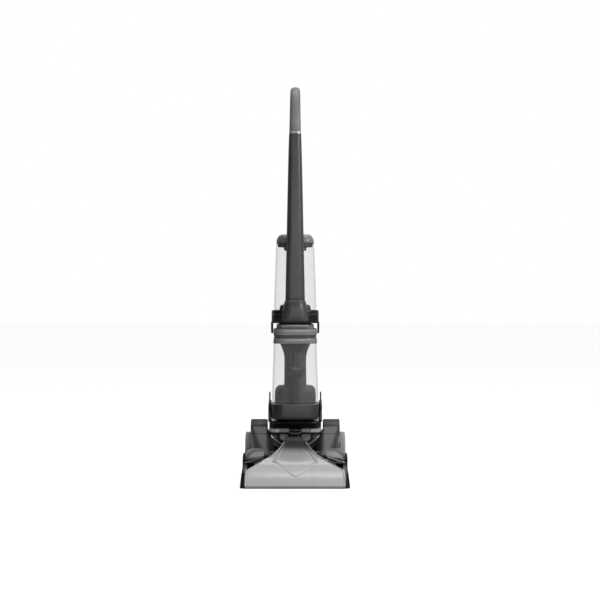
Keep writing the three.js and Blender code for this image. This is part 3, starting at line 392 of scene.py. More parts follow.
def cut(made, *shapes, sharp=None):
    """Cuts closed shapes out of a piece."""
    tools = [piece("cutter", *shape, None, black_abs) for shape in shapes]
    for tool in tools:
        away = made.modifiers.new("cut", "BOOLEAN")
        away.operation = "DIFFERENCE"
        away.solver = "EXACT"
        away.object = tool
    settle(made)
    for tool in tools:
        bpy.data.objects.remove(tool)
    return smoothed(made, sharp) if sharp else made


def smoothed(made, sharp=38):
    made.data.polygons.foreach_set("use_smooth", [True] * len(made.data.polygons))
    made.data.set_sharp_from_angle(angle=math.radians(sharp))
    return made


def box_mm(node):
    """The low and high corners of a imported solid's box, in millimetres."""
    return [corner * 1000 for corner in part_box(node)]


def joint_at(name):
    """Where a joint stands, in millimetres."""
    return Vector(next(j for j in frame["joints"] if j["name"] == name)["pos_m"]) * 1000


def ring(half, front, back, back_radius, front_radius, z, steps=8):
    """A rounded rectangle at height z, from front to back in Y, anticlockwise from above."""
    spots = []
    for side, y, radius, start in (
        (1, back, back_radius, 0),
        (-1, back, back_radius, 90),
        (-1, front, front_radius, 180),
        (1, front, front_radius, 270),
    ):
        centre = (side * (half - radius), y - radius if start < 180 else y + radius)
        for k in range(steps + 1):
            a = math.radians(start + 90 * k / steps)
            spots.append((centre[0] + radius * math.cos(a), centre[1] + radius * math.sin(a), z))
    return spots


def spline(a, b, c, d, u):
    """A point between b and c on the smooth curve through a, b, c and d."""
    curve = 2 * b + (c - a) * u + (2 * a - 5 * b + 4 * c - d) * u**2 + (3 * b - a - 3 * c + d) * u**3
    return 0.5 * curve


def eased(levels, count):
    """Level rows resampled on a smooth curve through them, one row per step."""
    rows = np.array(levels, float)
    spans = len(rows) - 1
    made = []
    for t in np.linspace(0, spans, count):
        i = min(int(t), spans - 1)
        made.append(spline(rows[max(i - 1, 0)], rows[i], rows[i + 1], rows[min(i + 2, spans)], t - i))
    return made


def rings_of(levels, inset=0.0, steps=8):
    """Rings from rows of (z, half, front, back, back radius, front radius)."""
    made = []
    for z, half, front, back, back_radius, front_radius in levels:
        back_corner = max(back_radius - inset, 0.6)
        front_corner = max(front_radius - inset, 0.6)
        made.append(ring(half - inset, front + inset, back - inset, back_corner, front_corner, z, steps))
    return made


def skin(rings, closed_ends=True):
    """Points and faces of a surface through rings that all have the same number of points."""
    count = len(rings[0])
    points = [p for r in rings for p in r]
    faces = []
    for i in range(len(rings) - 1):
        for j in range(count):
            a, b = i * count + j, i * count + (j + 1) % count
            faces.append((a, b, b + count, a + count))
    if closed_ends:
        faces.append(tuple(reversed(range(count))))
        faces.append(tuple(range(len(points) - count, len(points))))
    return points, faces


def wrapped(rings):
    """Points and faces of a surface through rings, the last of which meets the first."""
    steps, count = len(rings), len(rings[0])
    faces = []
    for k in range(steps):
        n = (k + 1) % steps
        for j in range(count):
            m = (j + 1) % count
            faces.append((k * count + j, k * count + m, n * count + m, n * count + j))
    return [p for r in rings for p in r], faces


def rolled_ends(levels, radius, steps=4):
    """Level rows with both ends rounded over by a quarter circle."""
    made = rolled_low(levels[0], radius, steps)
    low, high = levels[0][0] + radius, levels[-1][0] - radius
    made += [row for row in levels if low < row[0] < high]
    for k in range(steps + 1):
        a = math.pi / 2 * k / steps
        made.append(shrunk(levels[-1], radius * (1 - math.cos(a)), high + radius * math.sin(a)))
    return made


def rolled_low(row, radius, steps):
    """The lowest rows of a stack whose foot is rounded over by a quarter circle."""
    turns = [math.pi / 2 * k / steps for k in range(steps)]
    return [shrunk(row, radius * (1 - math.sin(a)), row[0] + radius * (1 - math.cos(a))) for a in turns]


def shrunk(row, by, z):
    _, half, front, back, back_radius, front_radius = row
    return (z, half - by, front + by, back - by, max(back_radius - by, 0.8), max(front_radius - by, 0.8))


def stacked(name, rows, roll, body, finish, stands_for=(), roll_steps=4, corner_steps=8, **more):
    """One piece from level rows, with its two ends rounded over."""
    rings = rings_of(rolled_ends(rows, roll, roll_steps), 0, corner_steps)
    return piece(name, *skin(rings), body, finish, stands_for, **more)


def lofted(name, rows, count, body, finish, stands_for=(), corner_steps=12, **more):
    """One piece from level rows on a smooth curve through them."""
    return piece(name, *skin(rings_of(eased(rows, count), 0, corner_steps)), body, finish, stands_for, **more)


def bead(name, line, radius, count, body, finish):
    """A thin bead that runs once round a closed line."""
    return piece(name, *tube(line + line[:2], radius, count=count, sides=8), body, finish)


def turned(profile, centre, axis="X", steps=72, shape=None):
    """A profile of (radius, along) points turned about an axis through centre, closed on itself."""
    rings = []
    for k in range(steps):
        a = 2 * math.pi * k / steps
        line = []
        for radius, along in profile:
            r = shape(radius, along, a) if shape else radius
            c, s = r * math.cos(a), r * math.sin(a)
            offset = {"X": (along, c, s), "Y": (s, along, c), "Z": (c, s, along)}[axis]
            line.append(tuple(centre[i] + offset[i] for i in range(3)))
        rings.append(line)
    return wrapped(rings)


def curve_through(spots, count):
    """Evenly spread points on a smooth curve through the spots."""
    path = np.array(eased(spots, max(len(spots) * 24, 48)))
    run = np.concatenate([[0], np.cumsum(np.linalg.norm(np.diff(path, axis=0), axis=1))])
    even = np.linspace(0, run[-1], count)
    return np.stack([np.interp(even, run, path[:, k]) for k in range(3)], axis=1), even


def tube(spots, radius, wall=None, count=40, sides=32, wave=None):
    """A tube along a smooth curve. wave gives extra radius by distance along it; a wall leaves it open."""
    path, run = curve_through(spots, count)
    along = np.gradient(path, axis=0)
    along /= np.linalg.norm(along, axis=1)[:, None]
    side = np.cross(along[0], (1.0, 0.1, 0.05))
    side /= np.linalg.norm(side)

    def sections(offset, use_wave):
        made = []
        level = side
        for p, t, s in zip(path, along, run):
            level = level - t * np.dot(level, t)
            level = level / np.linalg.norm(level)
            across = np.cross(t, level)
            r = radius - offset + (wave(s) if wave and use_wave else 0)
            turns = [2 * math.pi * k / sides for k in range(sides)]
            made.append([tuple(p + r * (math.cos(a) * level + math.sin(a) * across)) for a in turns])
        return made

    outer = sections(0, True)
    if wall is None:
        return skin(outer)
    inner = sections(wall, False)[::-1]
    points, faces = skin(outer + inner, closed_ends=False)
    last = len(points) - sides
    faces += [(last + j, last + (j + 1) % sides, (j + 1) % sides, j) for j in range(sides)]
    return points, faces


def slab(outline, low, high, axis="X"):
    """A flat outline pulled along an axis: (y, z) outlines along X, (x, z) along Y, (x, y) along Z."""
    place = {"X": lambda w, p: (w, *p), "Y": lambda w, p: (p[0], w, p[1]), "Z": lambda w, p: (*p, w)}[axis]
    points = [place(w, p) for w in (low, high) for p in outline]
    count = len(outline)
    faces = [(j, (j + 1) % count, count + (j + 1) % count, count + j) for j in range(count)]
    faces += [tuple(reversed(range(count))), tuple(range(count, 2 * count))]
    return points, faces


def block(low, high):
    (x0, y0, z0), (x1, y1, z1) = low, high
    return slab([(y0, z0), (y1, z0), (y1, z1), (y0, z1)], x0, x1)


def screw(name, at, out, body, radius=3.4):
    """A pan-head screw with a six-sided socket, its head towards out."""
    steps = 30

    def hexed(r, k):
        a = 2 * math.pi * k / steps
        sixth = math.pi / 3
        return r * math.cos(sixth / 2) / math.cos((a % sixth) - sixth / 2)

    rows = [(1.0, 0.0, False), (1.0, 0.9, False), (0.85, 1.7, False), (0.55, 2.0, False)]
    rows += [(0.5, 2.0, True), (0.46, 0.6, True)]
    rings = []
    for share, depth, six in rows:
        line = []
        for k in range(steps):
            a = 2 * math.pi * k / steps
            use = hexed(radius * share, k) if six else radius * share
            line.append(Vector((use * math.cos(a), use * math.sin(a), depth)))
        rings.append(line)
    turn = Vector((0, 0, 1)).rotation_difference(Vector(out)).to_matrix()
    rings = [[tuple(turn @ p + Vector(at)) for p in line] for line in rings]
    return piece(name, *skin(rings), body, zinc_steel, sharp=30)


def keep(node, finish, width=0.5):
    """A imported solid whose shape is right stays, with its edges rounded and its own finish."""
    solid = frame["nodes"][node]
    solid.data.materials.clear()
    solid.data.materials.append(finish)
    round_edges(solid, width, 2, 50)


# ---- Nozzle -------------------------------------------------------------------------------------

nozzle_front = box_mm("nozzle_window")[0][1]
# The window's front in the side view: (y behind the lip, z, half width, depth of the duct).
window_line = [
    (0, 8, 137, 12.5),
    (0, 30, 137, 12.5),
    (4, 49, 136, 12.5),
    (12, 64, 113, 12.5),
    (27, 76, 86, 12.5),
    (42, 86, 65, 12.5),
    (68, 102, 45, 15.5),
    (94, 117.5, 32, 19.5),
    (118, 131.5, 22, 23.5),
]


def window_rows(count=170):
    """The window's line drawn finely and eased, with each row's way along and its outward way."""
    rows = np.array([(nozzle_front + y, z, half, depth) for y, z, half, depth in window_line], float)
    run = np.concatenate([[0], np.cumsum(np.linalg.norm(np.diff(rows[:, :2], axis=0), axis=1))])
    fine = np.linspace(0, run[-1], 900)
    table = np.stack([np.interp(fine, run, rows[:, k]) for k in range(4)], axis=1)
    spread = int(900 * 20 / run[-1])
    weights = np.hanning(2 * spread + 1)
    weights /= weights.sum()
    easy = table.copy()
    for k in range(4):
        before = 2 * table[0, k] - table[spread:0:-1, k]
        after = 2 * table[-1, k] - table[-2 : -spread - 2 : -1, k]
        easy[:, k] = np.convolve(np.concatenate([before, table[:, k], after]), weights, "valid")
    pick = np.linspace(0, 899, count).astype(int)
    easy = easy[pick]
    way = np.gradient(easy[:, :2], axis=0)
    way /= np.linalg.norm(way, axis=1)[:, None]
    out = np.stack([-way[:, 1], way[:, 0]], axis=1)
    return easy, out


def line_distance(x, z, a, b):
    ax, az, bx, bz = *a, *b
    length2 = (bx - ax) ** 2 + (bz - az) ** 2
    t = np.clip(((x - ax) * (bx - ax) + (z - az) * (bz - az)) / length2, 0, 1)
    return np.hypot(x - ax - t * (bx - ax), z - az - t * (bz - az))


def ridge(distance, half_width):
    t = np.clip(1 - distance / half_width, 0, 1)
    return t * t * (3 - 2 * t)


emboss_neck, emboss_corner, emboss_point = (17.5, 128), (57, 74), (0, 30)


def emboss(x, z, half):
    """How far the window's surface stands out: a rolled rim, a faceted diamond and two fine ribs."""
    inward = half - abs(x)
    height = 1.1 * ridge(abs(inward - 2.2), 2.6) - 0.9 * ridge(abs(inward - 6.2), 1.5)
    side = abs(x)
    neck_line = line_distance(side, z, emboss_neck, emboss_corner)
    foot_line = line_distance(side, z, emboss_corner, emboss_point)
    height += 1.3 * ridge(neck_line, 2.6) - 0.8 * ridge(abs(neck_line - 3.6), 1.3)
    height -= 0.55 * ridge(foot_line, 1.5)
    edge_x = np.interp(z, [30, 74, 128], [0, 57, 17.5])
    inside = np.clip((edge_x - side) / 9.0, 0, 1) if 30 < z < 128 else 0.0
    height += 0.7 * inside * inside * (3 - 2 * inside)
    if z < 34:
        height -= 0.5 * ridge(abs(side - 44.6), 1.1)
    return min(height, 1.5)


def nozzle_window():
    rows, outs = window_rows()
    across = np.linspace(-1, 1, 261)
    rings = []
    for (y, z, half, depth), out in zip(rows, outs):
        base = 1.5
        outer, inner = [], []

        def spot(x, d):
            return (x, y - out[0] * d, z - out[1] * d)

        outer += [spot(-half, d) for d in np.linspace(depth, base + 3.0, 5)]
        outer += [spot(-half + 2 * (1 - math.cos(a)), base + 2.0 - 2 * math.sin(a)) for a in (0.4, 0.8, 1.2)]
        reach = half - 2.2
        for u in across:
            x = u * reach
            outer.append(spot(x, base - emboss(x, z, half)))
        outer += [spot(half - 2 * (1 - math.cos(a)), base + 2.0 - 2 * math.sin(a)) for a in (1.2, 0.8, 0.4)]
        outer += [spot(half, d) for d in np.linspace(base + 3.0, depth, 5)]
        inner += [spot(half - 2.5, d) for d in (depth, 5.0)]
        inner += [spot(x, 3.9) for x in np.linspace(half - 3.2, -half + 3.2, 24)]
        inner += [spot(-half + 2.5, d) for d in (5.0, depth)]
        rings.append(outer + inner)
    return piece("nozzle_window", *skin(rings), "nozzle", nozzle_san, ["nozzle_window"], sharp=48)


def nozzle_lip():
    """The squeegee: a rounded strip with a slot behind it and short teeth along its lower edge."""
    low, high = box_mm("nozzle_lip")
    teeth = 68
    rings = []
    for x in np.linspace(low[0], high[0], teeth * 4 + 1):
        notch = 0.9 * max(0.0, math.cos((x - low[0]) / (high[0] - low[0]) * teeth * 2 * math.pi)) ** 4
        end = 1.5 * max(0, 1 - min(x - low[0], high[0] - x) / 2.0) ** 2
        profile = [
            (low[1] + end, high[2]),
            (low[1] + end, low[2] + 1.6 + notch),
            (low[1] + 0.5 + end, low[2] + 0.5 + notch),
            (low[1] + 1.3 + end, low[2] + notch),
            (low[1] + 3.0, low[2] + notch),
            (low[1] + 4.0, high[2]),
        ]
        rings.append([(x, y, z) for y, z in profile])
    made = piece("nozzle_lip", *skin(rings), "nozzle", lip_rubber, ["nozzle_lip"])
    low_back = high[1] - 3.2
    rear = [(low_back, low[2]), (high[1] - 0.6, low[2]), (high[1], low[2] + 1)]
    rear += [(high[1], high[2]), (low_back, high[2])]
    piece("nozzle_rear_lip", *slab(rear, low[0], high[0]), "nozzle", lip_rubber)
    return made


def closed_ring(spots):
    """The corners of a closed outline with points along each side, so that a tube follows them squarely."""
    made = []
    for a, b in zip(spots, spots[1:] + spots[:1]):
        made += [tuple(np.array(a) + (np.array(b) - np.array(a)) * t) for t in (0.06, 0.5, 0.94)]
    return made + made[:1]


def nozzle_latch():
    """The sliding catch at the nozzle's neck: a six-sided frame round a finger pad."""
    low, high = box_mm("nozzle_latch")
    middle_y, middle_z = (low[1] + high[1]) / 2, (low[2] + high[2]) / 2
    slope = math.atan2(14, 24)
    c, s = math.cos(slope), math.sin(slope)

    def lay(points_faces):
        """Lays a piece on the slope of the window's neck: u runs up the slope and v stands on it."""
        points, faces = points_faces
        return [(x, middle_y + u * c - v * s, middle_z + u * s + v * c) for x, u, v in points], faces

    outline = [(-17, -5), (-12, -9.5), (12, -9.5), (17, -5), (14, 9), (-14, 9)]
    base = lay(slab(outline, -3, 2.6, "Z"))
    round_edges(piece("latch_frame", *base, "nozzle_catch", black_abs, ["nozzle_latch"]), 1.2)
    trim = [(x * 0.93, u * 0.9, 2.9) for x, u in outline]
    trim_tube = tube(closed_ring(trim), 0.8, count=120, sides=8)
    piece("latch_trim", *lay(trim_tube), "nozzle_catch", silver_lacquer)
    for k in range(4):
        u = -5.5 + k * 3.4
        bar = [(-10 + k * 0.4, u), (10 - k * 0.4, u), (10 - k * 0.4, u + 1.6), (-10 + k * 0.4, u + 1.6)]
        rib = piece(f"latch_rib_{k}", *lay(slab(bar, 2.3, 3.4, "Z")), "nozzle_catch", black_abs)
        round_edges(rib, 0.4)


def nozzle_flange():
    """The pale flange that stands out beside the window's sloping edges, its lacquer paler as painted light,
    the dark seam inside it, and a pale edge line that paints the highlight along the window's rim.
    """
    rows, outs = window_rows(120)
    for word, sign in left_and_right:
        strip, seam, edge = [], [], []
        for (y, z, half, _), out in zip(rows, outs):
            if not 40 < z < 122:
                continue
            grow = 6.0 * min((z - 40) / 14, 1.0) * min((126 - z) / 14, 1.0)

            def spot(x, d):
                return (sign * x, y - out[0] * d, z - out[1] * d)

            rim = half + grow
            corners_of_strip = [(half - 3, 8.0), (rim - 0.6, 8.0), (rim, 8.6), (rim, 11.2), (half - 3, 11.2)]
            strip.append([spot(x, d) for x, d in corners_of_strip])
            seam.append(spot(half + 0.5, 7.7))
            if z > 74:
                edge.append(spot(half + 0.2, 1.2 + (z - 74) * 0.02))
        piece(f"nozzle_flange_{word}", *skin(strip), "nozzle", pale_lacquer_painted_light)
        piece(f"nozzle_seam_{word}", *tube(seam[::4], 0.7, count=70, sides=8), "nozzle", black_rubber)
        # A pale line along the window's edge: painted highlight.
        piece(f"nozzle_edge_{word}", *tube(edge[::4], 1.1, count=60, sides=10), "nozzle", pale_abs_painted_highlight)


nozzle_window()
nozzle_lip()
nozzle_latch()
nozzle_flange()
keep("nozzle_rear_plate", coarse_abs, 0.4)

# ---- Foot ---------------------------------------------------------------------------------------

hood_low, hood_high = box_mm("brush_hood")
deck_low, deck_high = box_mm("deck_cover")
base_low, base_high = box_mm("foot_base")
pivot = joint_at("body_recline")
brush_at = joint_at("brush_spin")
wheel_at = joint_at("wheel_left_spin")


def step(t):
    t = min(max(t, 0.0), 1.0)
    return t * t * (3 - 2 * t)


def hood():
    """The brush cover: its top drops towards both ends, and its ends lean in."""
    half = hood_high[0]
    rings = []
    stations = [half - 1.6 * (1 - math.sin(a)) for a in np.linspace(0, math.pi / 2, 4)][::-1]
    stations = stations + list(np.linspace(half - 4, -half + 4, 60)) + [-s for s in reversed(stations)]
    for x in stations:
        near_end = abs(x) / half
        drop = 15 * step((abs(x) - 84) / 54)
        squeeze = 2.2 * step((abs(x) - (half - 5)) / 5)
        top = hood_high[2] - 2 - drop
        front, back = hood_low[1] + squeeze, hood_high[1] - squeeze
        line = []
        for y, z in (
            (front, squeeze * 0.4),
            (front, 14),
            (front, 28),
            (front + 3, 42),
            (front + 8, top * 0.7),
            (front + 17, top * 0.84),
            (front + 29, top * 0.94),
            (front + 42, top * 0.99),
            (front + 54, top),
            (back - 8, top),
            (back - 2, top - 1.5),
            (back, top - 6),
            (back, 30),
            (back, squeeze * 0.4),
        ):
            # Seen from the front, the ends lean in towards the top.
            lean = near_end * 10 * (max(z, 0) / 80) ** 1.2
            line.append((x * (1 - lean / half), y, z))
        rings.append(line)
    made = piece("brush_hood", *skin(rings), "foot", black_abs, ["brush_hood"])
    chamber = turned([(0.01, -131.5), (33, -131.5), (33, 131.5), (0.01, 131.5)], brush_at, "X", 64)
    away = [
        chamber,
        block((-131.5, brush_at[1] - 33, -5), (131.5, hood_high[1] - 4.5, brush_at[2] + 0.01)),
        block((-131.5, hood_low[1] - 3, -5), (131.5, hood_high[1] + 3, 5)),
    ]
    cut(made, *away, sharp=34)
    round_edges(made, 0.8, 2, 60)
    return made


def base_tray():
    """The pan under the motors: a shallow moulding with a stepped rim, ribs and screws."""
    narrow = [(10, 122.5, -87.7, 146, 14, 14), (45, 124, -87.7, 152, 14, 14)]
    wide = [(16, 139, -87.7, 38, 30, 8), (45, 141, -87.7, 42, 34, 8)]
    stacked("base_tray", narrow, 3, "foot", coarse_abs, ["foot_base"])
    stacked("base_wings", wide, 3, "foot", coarse_abs)
    for k, x in enumerate((-84, -42, 0, 42, 84)):
        rib = piece(f"base_rib_{k}", *block((x - 1.2, -70, 8.2), (x + 1.2, 128, 10.6)), "foot", coarse_abs)
        round_edges(rib, 0.5)
    for k, (x, y) in enumerate(((-104, -68), (104, -68), (-104, 74), (104, 74), (-60, 134), (60, 134))):
        screw(f"base_screw_{k}", (x, y, 10.2), (0, 0, -1), "foot")


def deck():
    """The top of the foot, with the round well that the drum turns in."""
    levels = [
        (45.6, 123.6, -87.7, 151.6, 14, 14),
        (66, 123.6, -87.7, 149.6, 14, 14),
        (76, 119, -87.6, 143, 17, 13),
        (84, 111.6, -87, 133, 20, 12),
        (89, 103, -85.5, 122, 22, 12),
        (92, 94, -83, 111, 24, 12),
    ]
    made = lofted("deck_cover", levels, 26, "foot", deck_abs, ["deck_cover"], 10)
    half = 77.8
    well = turned([(0.01, -half), (49.8, -half), (49.8, half), (0.01, half)], pivot, "X", 96)
    slot = block((-74, 138, 54), (-34, 160, 66))
    cut(made, well, block((-half, pivot[1], 76.2), (half, 220, 150)), slot, sharp=30)
    round_edges(made, 1.0, 2, 50)
    # Three stepped rims sweep down from the pods and under the drum; the first is in the paler lacquer,
    # painted light against the well's shade.
    rims = ((51.6, 0, pale_lacquer_painted_light), (55.8, 7, graphite_abs), (60.2, 13, silver_lacquer))
    for k, (radius, drop, finish) in enumerate(rims):
        band = []
        for x in np.linspace(-81 + k, 81 - k, 90):
            middle = 180 + 36 - 60 * (abs(x) / 81) ** 1.7 + drop
            line = []
            for turn, r in ((-3.4, -3), (-3.4, -0.6), (-2.6, 0), (2.6, 0), (3.4, -0.6), (3.4, -3)):
                a = math.radians(middle + turn)
                line.append((x, pivot[1] + (radius + r) * math.cos(a), pivot[2] + (radius + r) * math.sin(a)))
            band.append(line)
        piece(f"well_rim_{k}", *skin(band), "foot", finish)
    return made


def shoulder():
    """A silver facet over each front corner, with a black pan, a trim line and a black skirt outside."""
    levels = [
        (46, 141.4, -112, 41.5, 34, 8),
        (66, 141.4, -112, 41, 34, 10),
        (76, 140.2, -107, 36, 34, 14),
        (84, 137.2, -99, 28, 33, 18),
        (91, 130.5, -89, 16, 31, 20),
        (97, 120, -77, 2, 26, 20),
        (101, 109, -66, -8, 22, 16),
        (102.5, 99, -58, -14, 18, 12),
    ]
    rings = rings_of(eased(levels, 34), 0, 10)
    for word, sign in left_and_right:
        under = [(60, 30), (60, 88.5), (90, 81), (150, 68.4), (150, 30)]
        over = [(60, 140), (60, 86.5), (90, 79), (150, 66.4), (150, 140)]
        for name, finish, away, nodes in (
            # The silver facet is in the darker lacquer: painted shade where it faces the lamps.
            ("shoulder", shoulder_lacquer_painted_shade, under, ["deck_cover"]),
            ("shoulder_pan", black_abs, over, []),
        ):
            made = piece(f"{name}_{word}", *skin(rings), "foot", finish, nodes)
            low, high = sorted((-sign * 200, sign * 86))
            inner = block((low, -200, 0), (high, 100, 200))
            away = [(sign * x, z) for x, z in away]
            # Room for the brush, as inside its hood.
            room = turned([(0.01, -132), (33.6, -132), (33.6, 132), (0.01, 132)], brush_at, "X", 64)
            cut(made, inner, slab(away, -200, 100, "Y"), room, sharp=34)
            round_edges(made, 0.8, 3, 40)
        trim = [(140.4, -112.6, 63.6), (128, -113.2, 67.4), (114, -113.2, 71.8), (100, -113.2, 76.4)]
        trim = [(sign * x, y, z) for x, y, z in trim + [(90, -113.0, 79.6)]]
        piece(f"shoulder_trim_{word}", *tube(trim, 1.7, count=40, sides=12), "foot", silver_lacquer)
        skirt = [(-113, 8), (-113, 74), (-106, 81), (-90, 85), (-40, 85.4), (-10, 82)]
        skirt += [(14, 72), (28, 58), (36, 44), (37, 12), (30, 8)]
        low, high = sorted((sign * 141.6, sign * 144.6))
        round_edges(piece(f"side_skirt_{word}", *slab(skirt, low, high), "foot", black_abs), 1.2, 3, 30)


# Oval sections of each arm from the pivot to its toe over the hood: y, z, middle x, half width, half height.
arm_sections = [
    (-27.7, 96, 93.4, 24.6, 26),
    (-47.7, 93, 89.2, 28, 20),
    (-69.7, 85.5, 83, 30, 16.6),
    (-82, 81.4, 79.6, 27, 12),
    (-91, 81.0, 79, 21, 6.4),
    (-95.4, 80.6, 79, 14, 3.8),
]


def arm_points(sign):
    spots = []
    for k in range(64):
        a = 2 * math.pi * k / 64
        for x, r in ((81.6, 45.8), (83.4, 47.6), (124.6, 47.6), (126.6, 45.6)):
            spots.append((sign * x, pivot[1] + r * math.cos(a), pivot[2] + r * math.sin(a)))
    for y, z, middle, half, rise in arm_sections:
        for k in range(40):
            a = 2 * math.pi * k / 40
            spots.append((sign * (middle + half * math.cos(a)), y, z + rise * math.sin(a)))
    return spots


def wrap_hull(made):
    """Turns loose points into the closed skin that wraps them."""
    hull = bmesh.new()
    hull.from_mesh(made.data)
    shell = bmesh.ops.convex_hull(hull, input=hull.verts)
    inside = [g for g in shell["geom_interior"] if isinstance(g, bmesh.types.BMVert)]
    bmesh.ops.delete(hull, geom=inside, context="VERTS")
    bmesh.ops.recalc_face_normals(hull, faces=hull.faces)
    hull.to_mesh(made.data)
    hull.free()


def melt(made, voxel, passes):
    """Melts a solid's edges round, as a draughted moulding's are."""
    remesh = made.modifiers.new("melt", "REMESH")
    remesh.mode = "VOXEL"
    remesh.voxel_size = voxel * 0.001
    relax = made.modifiers.new("relax", "SMOOTH")
    relax.iterations = passes
    return smoothed(settle(made), 60)


def arms():
    """The arms from the deck to the pivot, with painted shade towards each toe, a pale rim line along each
    edge that paints its highlight, and a cover over the pivot.
    """
    for word, sign in left_and_right:
        made = piece(f"pivot_arm_{word}", arm_points(sign), [], "foot", arm_abs_painted_toe_shade, [f"pivot_arm_{word}"])
        wrap_hull(made)
        low, high = sorted((sign * 119.6, sign * 130))
        pocket = [(0.01, low), (40.4, low), (40.4, high), (0.01, high)]
        pocket = turned(pocket, (0, pivot[1], pivot[2]), "X", 72)
        well = turned([(0.01, -80), (51, -80), (51, 80), (0.01, 80)], pivot, "X", 96)
        cut(made, well, pocket)
        melt(made, 1.4, 9)
        points = np.array([v.co for v in made.data.vertices])
        normals = np.array([v.normal for v in made.data.vertices])
        y, z = points[:, 1] * 1000 - pivot[1], points[:, 2] * 1000 - pivot[2]
        # A parting groove where the pivot's cover meets the arm.
        groove = ridge(abs(z - 4 + 0.16 * y), 1.5) * (y < -20) * (np.hypot(y, z) > 40)
        points -= normals * (groove * 0.0012)[:, None]
        made.data.vertices.foreach_set("co", points.ravel())
        x0, x1 = 79.2, 126.6
        section = [(x0, 46.4), (x0, 48.6), (x0 + 1.0, 50.2), (x0 + 3.4, 51.0)]
        section += [(x1 - 3.4, 51.0), (x1 - 1.0, 50.2), (x1, 48.6), (x1, 46.4)]
        cover = []
        for a in np.linspace(math.radians(164), math.radians(28), 60):
            y, z = math.cos(a), math.sin(a)
            cover.append([(sign * x, pivot[1] + r * y, pivot[2] + r * z) for x, r in section])
        shell = piece(f"pivot_cover_{word}", *skin(cover), "foot", cover_abs)
        round_edges(shell, 0.7, 2, 50)
        # A pale rim line along the arm's outer edge: painted highlight.
        rim = [(126.0, 12.8, 124), (122.4, -8, 110), (118.4, -27, 97.4), (117.4, -47, 93.4)]
        rim += [(113.0, -69, 86), (106.4, -81.4, 81.6), (98, -91.6, 80.2), (90, -95.2, 79.2)]
        rim = [(sign * x, y, z) for x, y, z in rim]
        piece(f"arm_rim_{word}", *tube(rim, 1.4, count=70, sides=10), "foot", pale_abs_painted_highlight)


def pivot_discs():
    """The silver disc in each knuckle, with a dished face and a raised centre."""
    profile = [(0.01, -6), (39.4, -6), (39.4, 0.2), (38.4, 1.0), (34, 1.0), (32.6, -1.2)]
    profile += [(20, -1.8), (18, -0.4), (16.6, 0.7), (0.01, 0.9)]
    points, faces = turned(profile, (126, pivot[1], pivot[2]), "X", 96)
    for word, sign in left_and_right:
        name = f"knuckle_cap_{word}"
        side_points = [(sign * x, y, z) for x, y, z in points]
        piece(name, side_points, faces, "foot", silver_lacquer, [name], sharp=30)


hood()
base_tray()
deck()
shoulder()
arms()
pivot_discs()


def duct_pipe():
    """The rigid pipe from the nozzle's neck back to the drum, with a lip at each end."""
    spots = [(0, -55, 121.6), (0, -34, 133), (0, -14, 135), (0, 6.2, 128.4)]

    def lips(s):
        return 1.1 * ridge(abs(s - 3), 2.5) + 1.1 * ridge(abs(s - 62), 2.5)

    piece("nozzle_duct", *tube(spots, 13, 2, 60, 40, lips), "foot", black_abs, ["nozzle_duct"])


def bellows():
    """The hose in the drum: rubber corrugations 4 mm apart."""
    spots = [(0, 9.4, 126.9), (0, 20, 125.5), (0, 31, 130), (0, 33.8, 138), (0, 34, 145.6)]
    pitch = 4.0

    def waves(s):
        return 1.3 * math.sin(s * 2 * math.pi / pitch) - 0.4

    points, faces = tube(spots, 11.4, 1.6, 150, 32, waves)
    made = piece("suction_hose", points, faces, None, black_rubber)
    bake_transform(made)
    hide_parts("suction_hose")


def brush():
    """The brush roll: a spiral-grooved core with six rows of nylon tufts."""
    core_half, core_radius, tip = 110, 16.5, 29.6
    turn_rate = 0.9 / core_half
    core = []
    for x in np.linspace(-core_half, core_half, 120):
        line = []
        for k in range(48):
            a = 2 * math.pi * k / 48
            groove = 0.9 * max(0, math.cos(6 * (a - x * turn_rate))) ** 6
            r = core_radius - groove
            line.append((x, brush_at[1] + r * math.cos(a), brush_at[2] + r * math.sin(a)))
        core.append(line)
    piece("brush_core", *skin(core), "brush", graphite_abs, ["brush_roll"])
    axle = [(0.01, -129.5), (3.6, -129.5), (4, -129), (4, 129), (3.6, 129.5), (0.01, 129.5)]
    piece("brush_axle", *turned(axle, brush_at, "X", 24), "brush", zinc_steel)
    spread = np.random.default_rng(7)
    points, faces = [], []
    for row in range(6):
        for x in np.arange(-core_half + 4, core_half - 3, 5.4):
            a = row * math.pi / 3 + x * turn_rate
            for _ in range(15):
                dx, da = spread.uniform(-1.5, 1.5), spread.uniform(-0.09, 0.09)
                lean_x = dx * 0.7 + spread.uniform(-0.8, 0.8)
                lean_a = da * 0.5 + spread.uniform(-0.03, 0.03)
                start = len(points)
                root = (core_radius - 1.2, dx, da, 0.34)
                end = (tip - spread.uniform(0, 0.8), dx + lean_x, da + lean_a, 0.26)
                for r, sx, sa, w in (root, end):
                    for k in range(3):
                        b = 2 * math.pi * k / 3
                        ang = a + sa + w * math.sin(b) / r
                        px = x + sx + w * math.cos(b)
                        points.append((px, brush_at[1] + r * math.cos(ang), brush_at[2] + r * math.sin(ang)))
                for k in range(3):
                    n = (k + 1) % 3
                    faces.append((start + k, start + n, start + 3 + n, start + 3 + k))
                faces += [(start + 2, start + 1, start), (start + 3, start + 4, start + 5)]
    piece("brush_tufts", points, faces, "brush", nylon_bristle)


duct_pipe()
bellows()
brush()

keep("spray_bar", black_abs, 0.4)
keep("brush_motor", pressed_steel)
keep("drive_belt", black_rubber, 0.3)
keep("brush_bearing_left", black_abs)
keep("brush_bearing_right", black_abs)
keep("rear_axle", zinc_steel)
keep("water_pump", black_abs, 1.5)
keep("motor_pulley", zinc_steel, 0.3)
keep("brush_pulley", graphite_abs, 0.3)
keep("pivot_pin_left", zinc_steel)
keep("pivot_pin_right", zinc_steel)


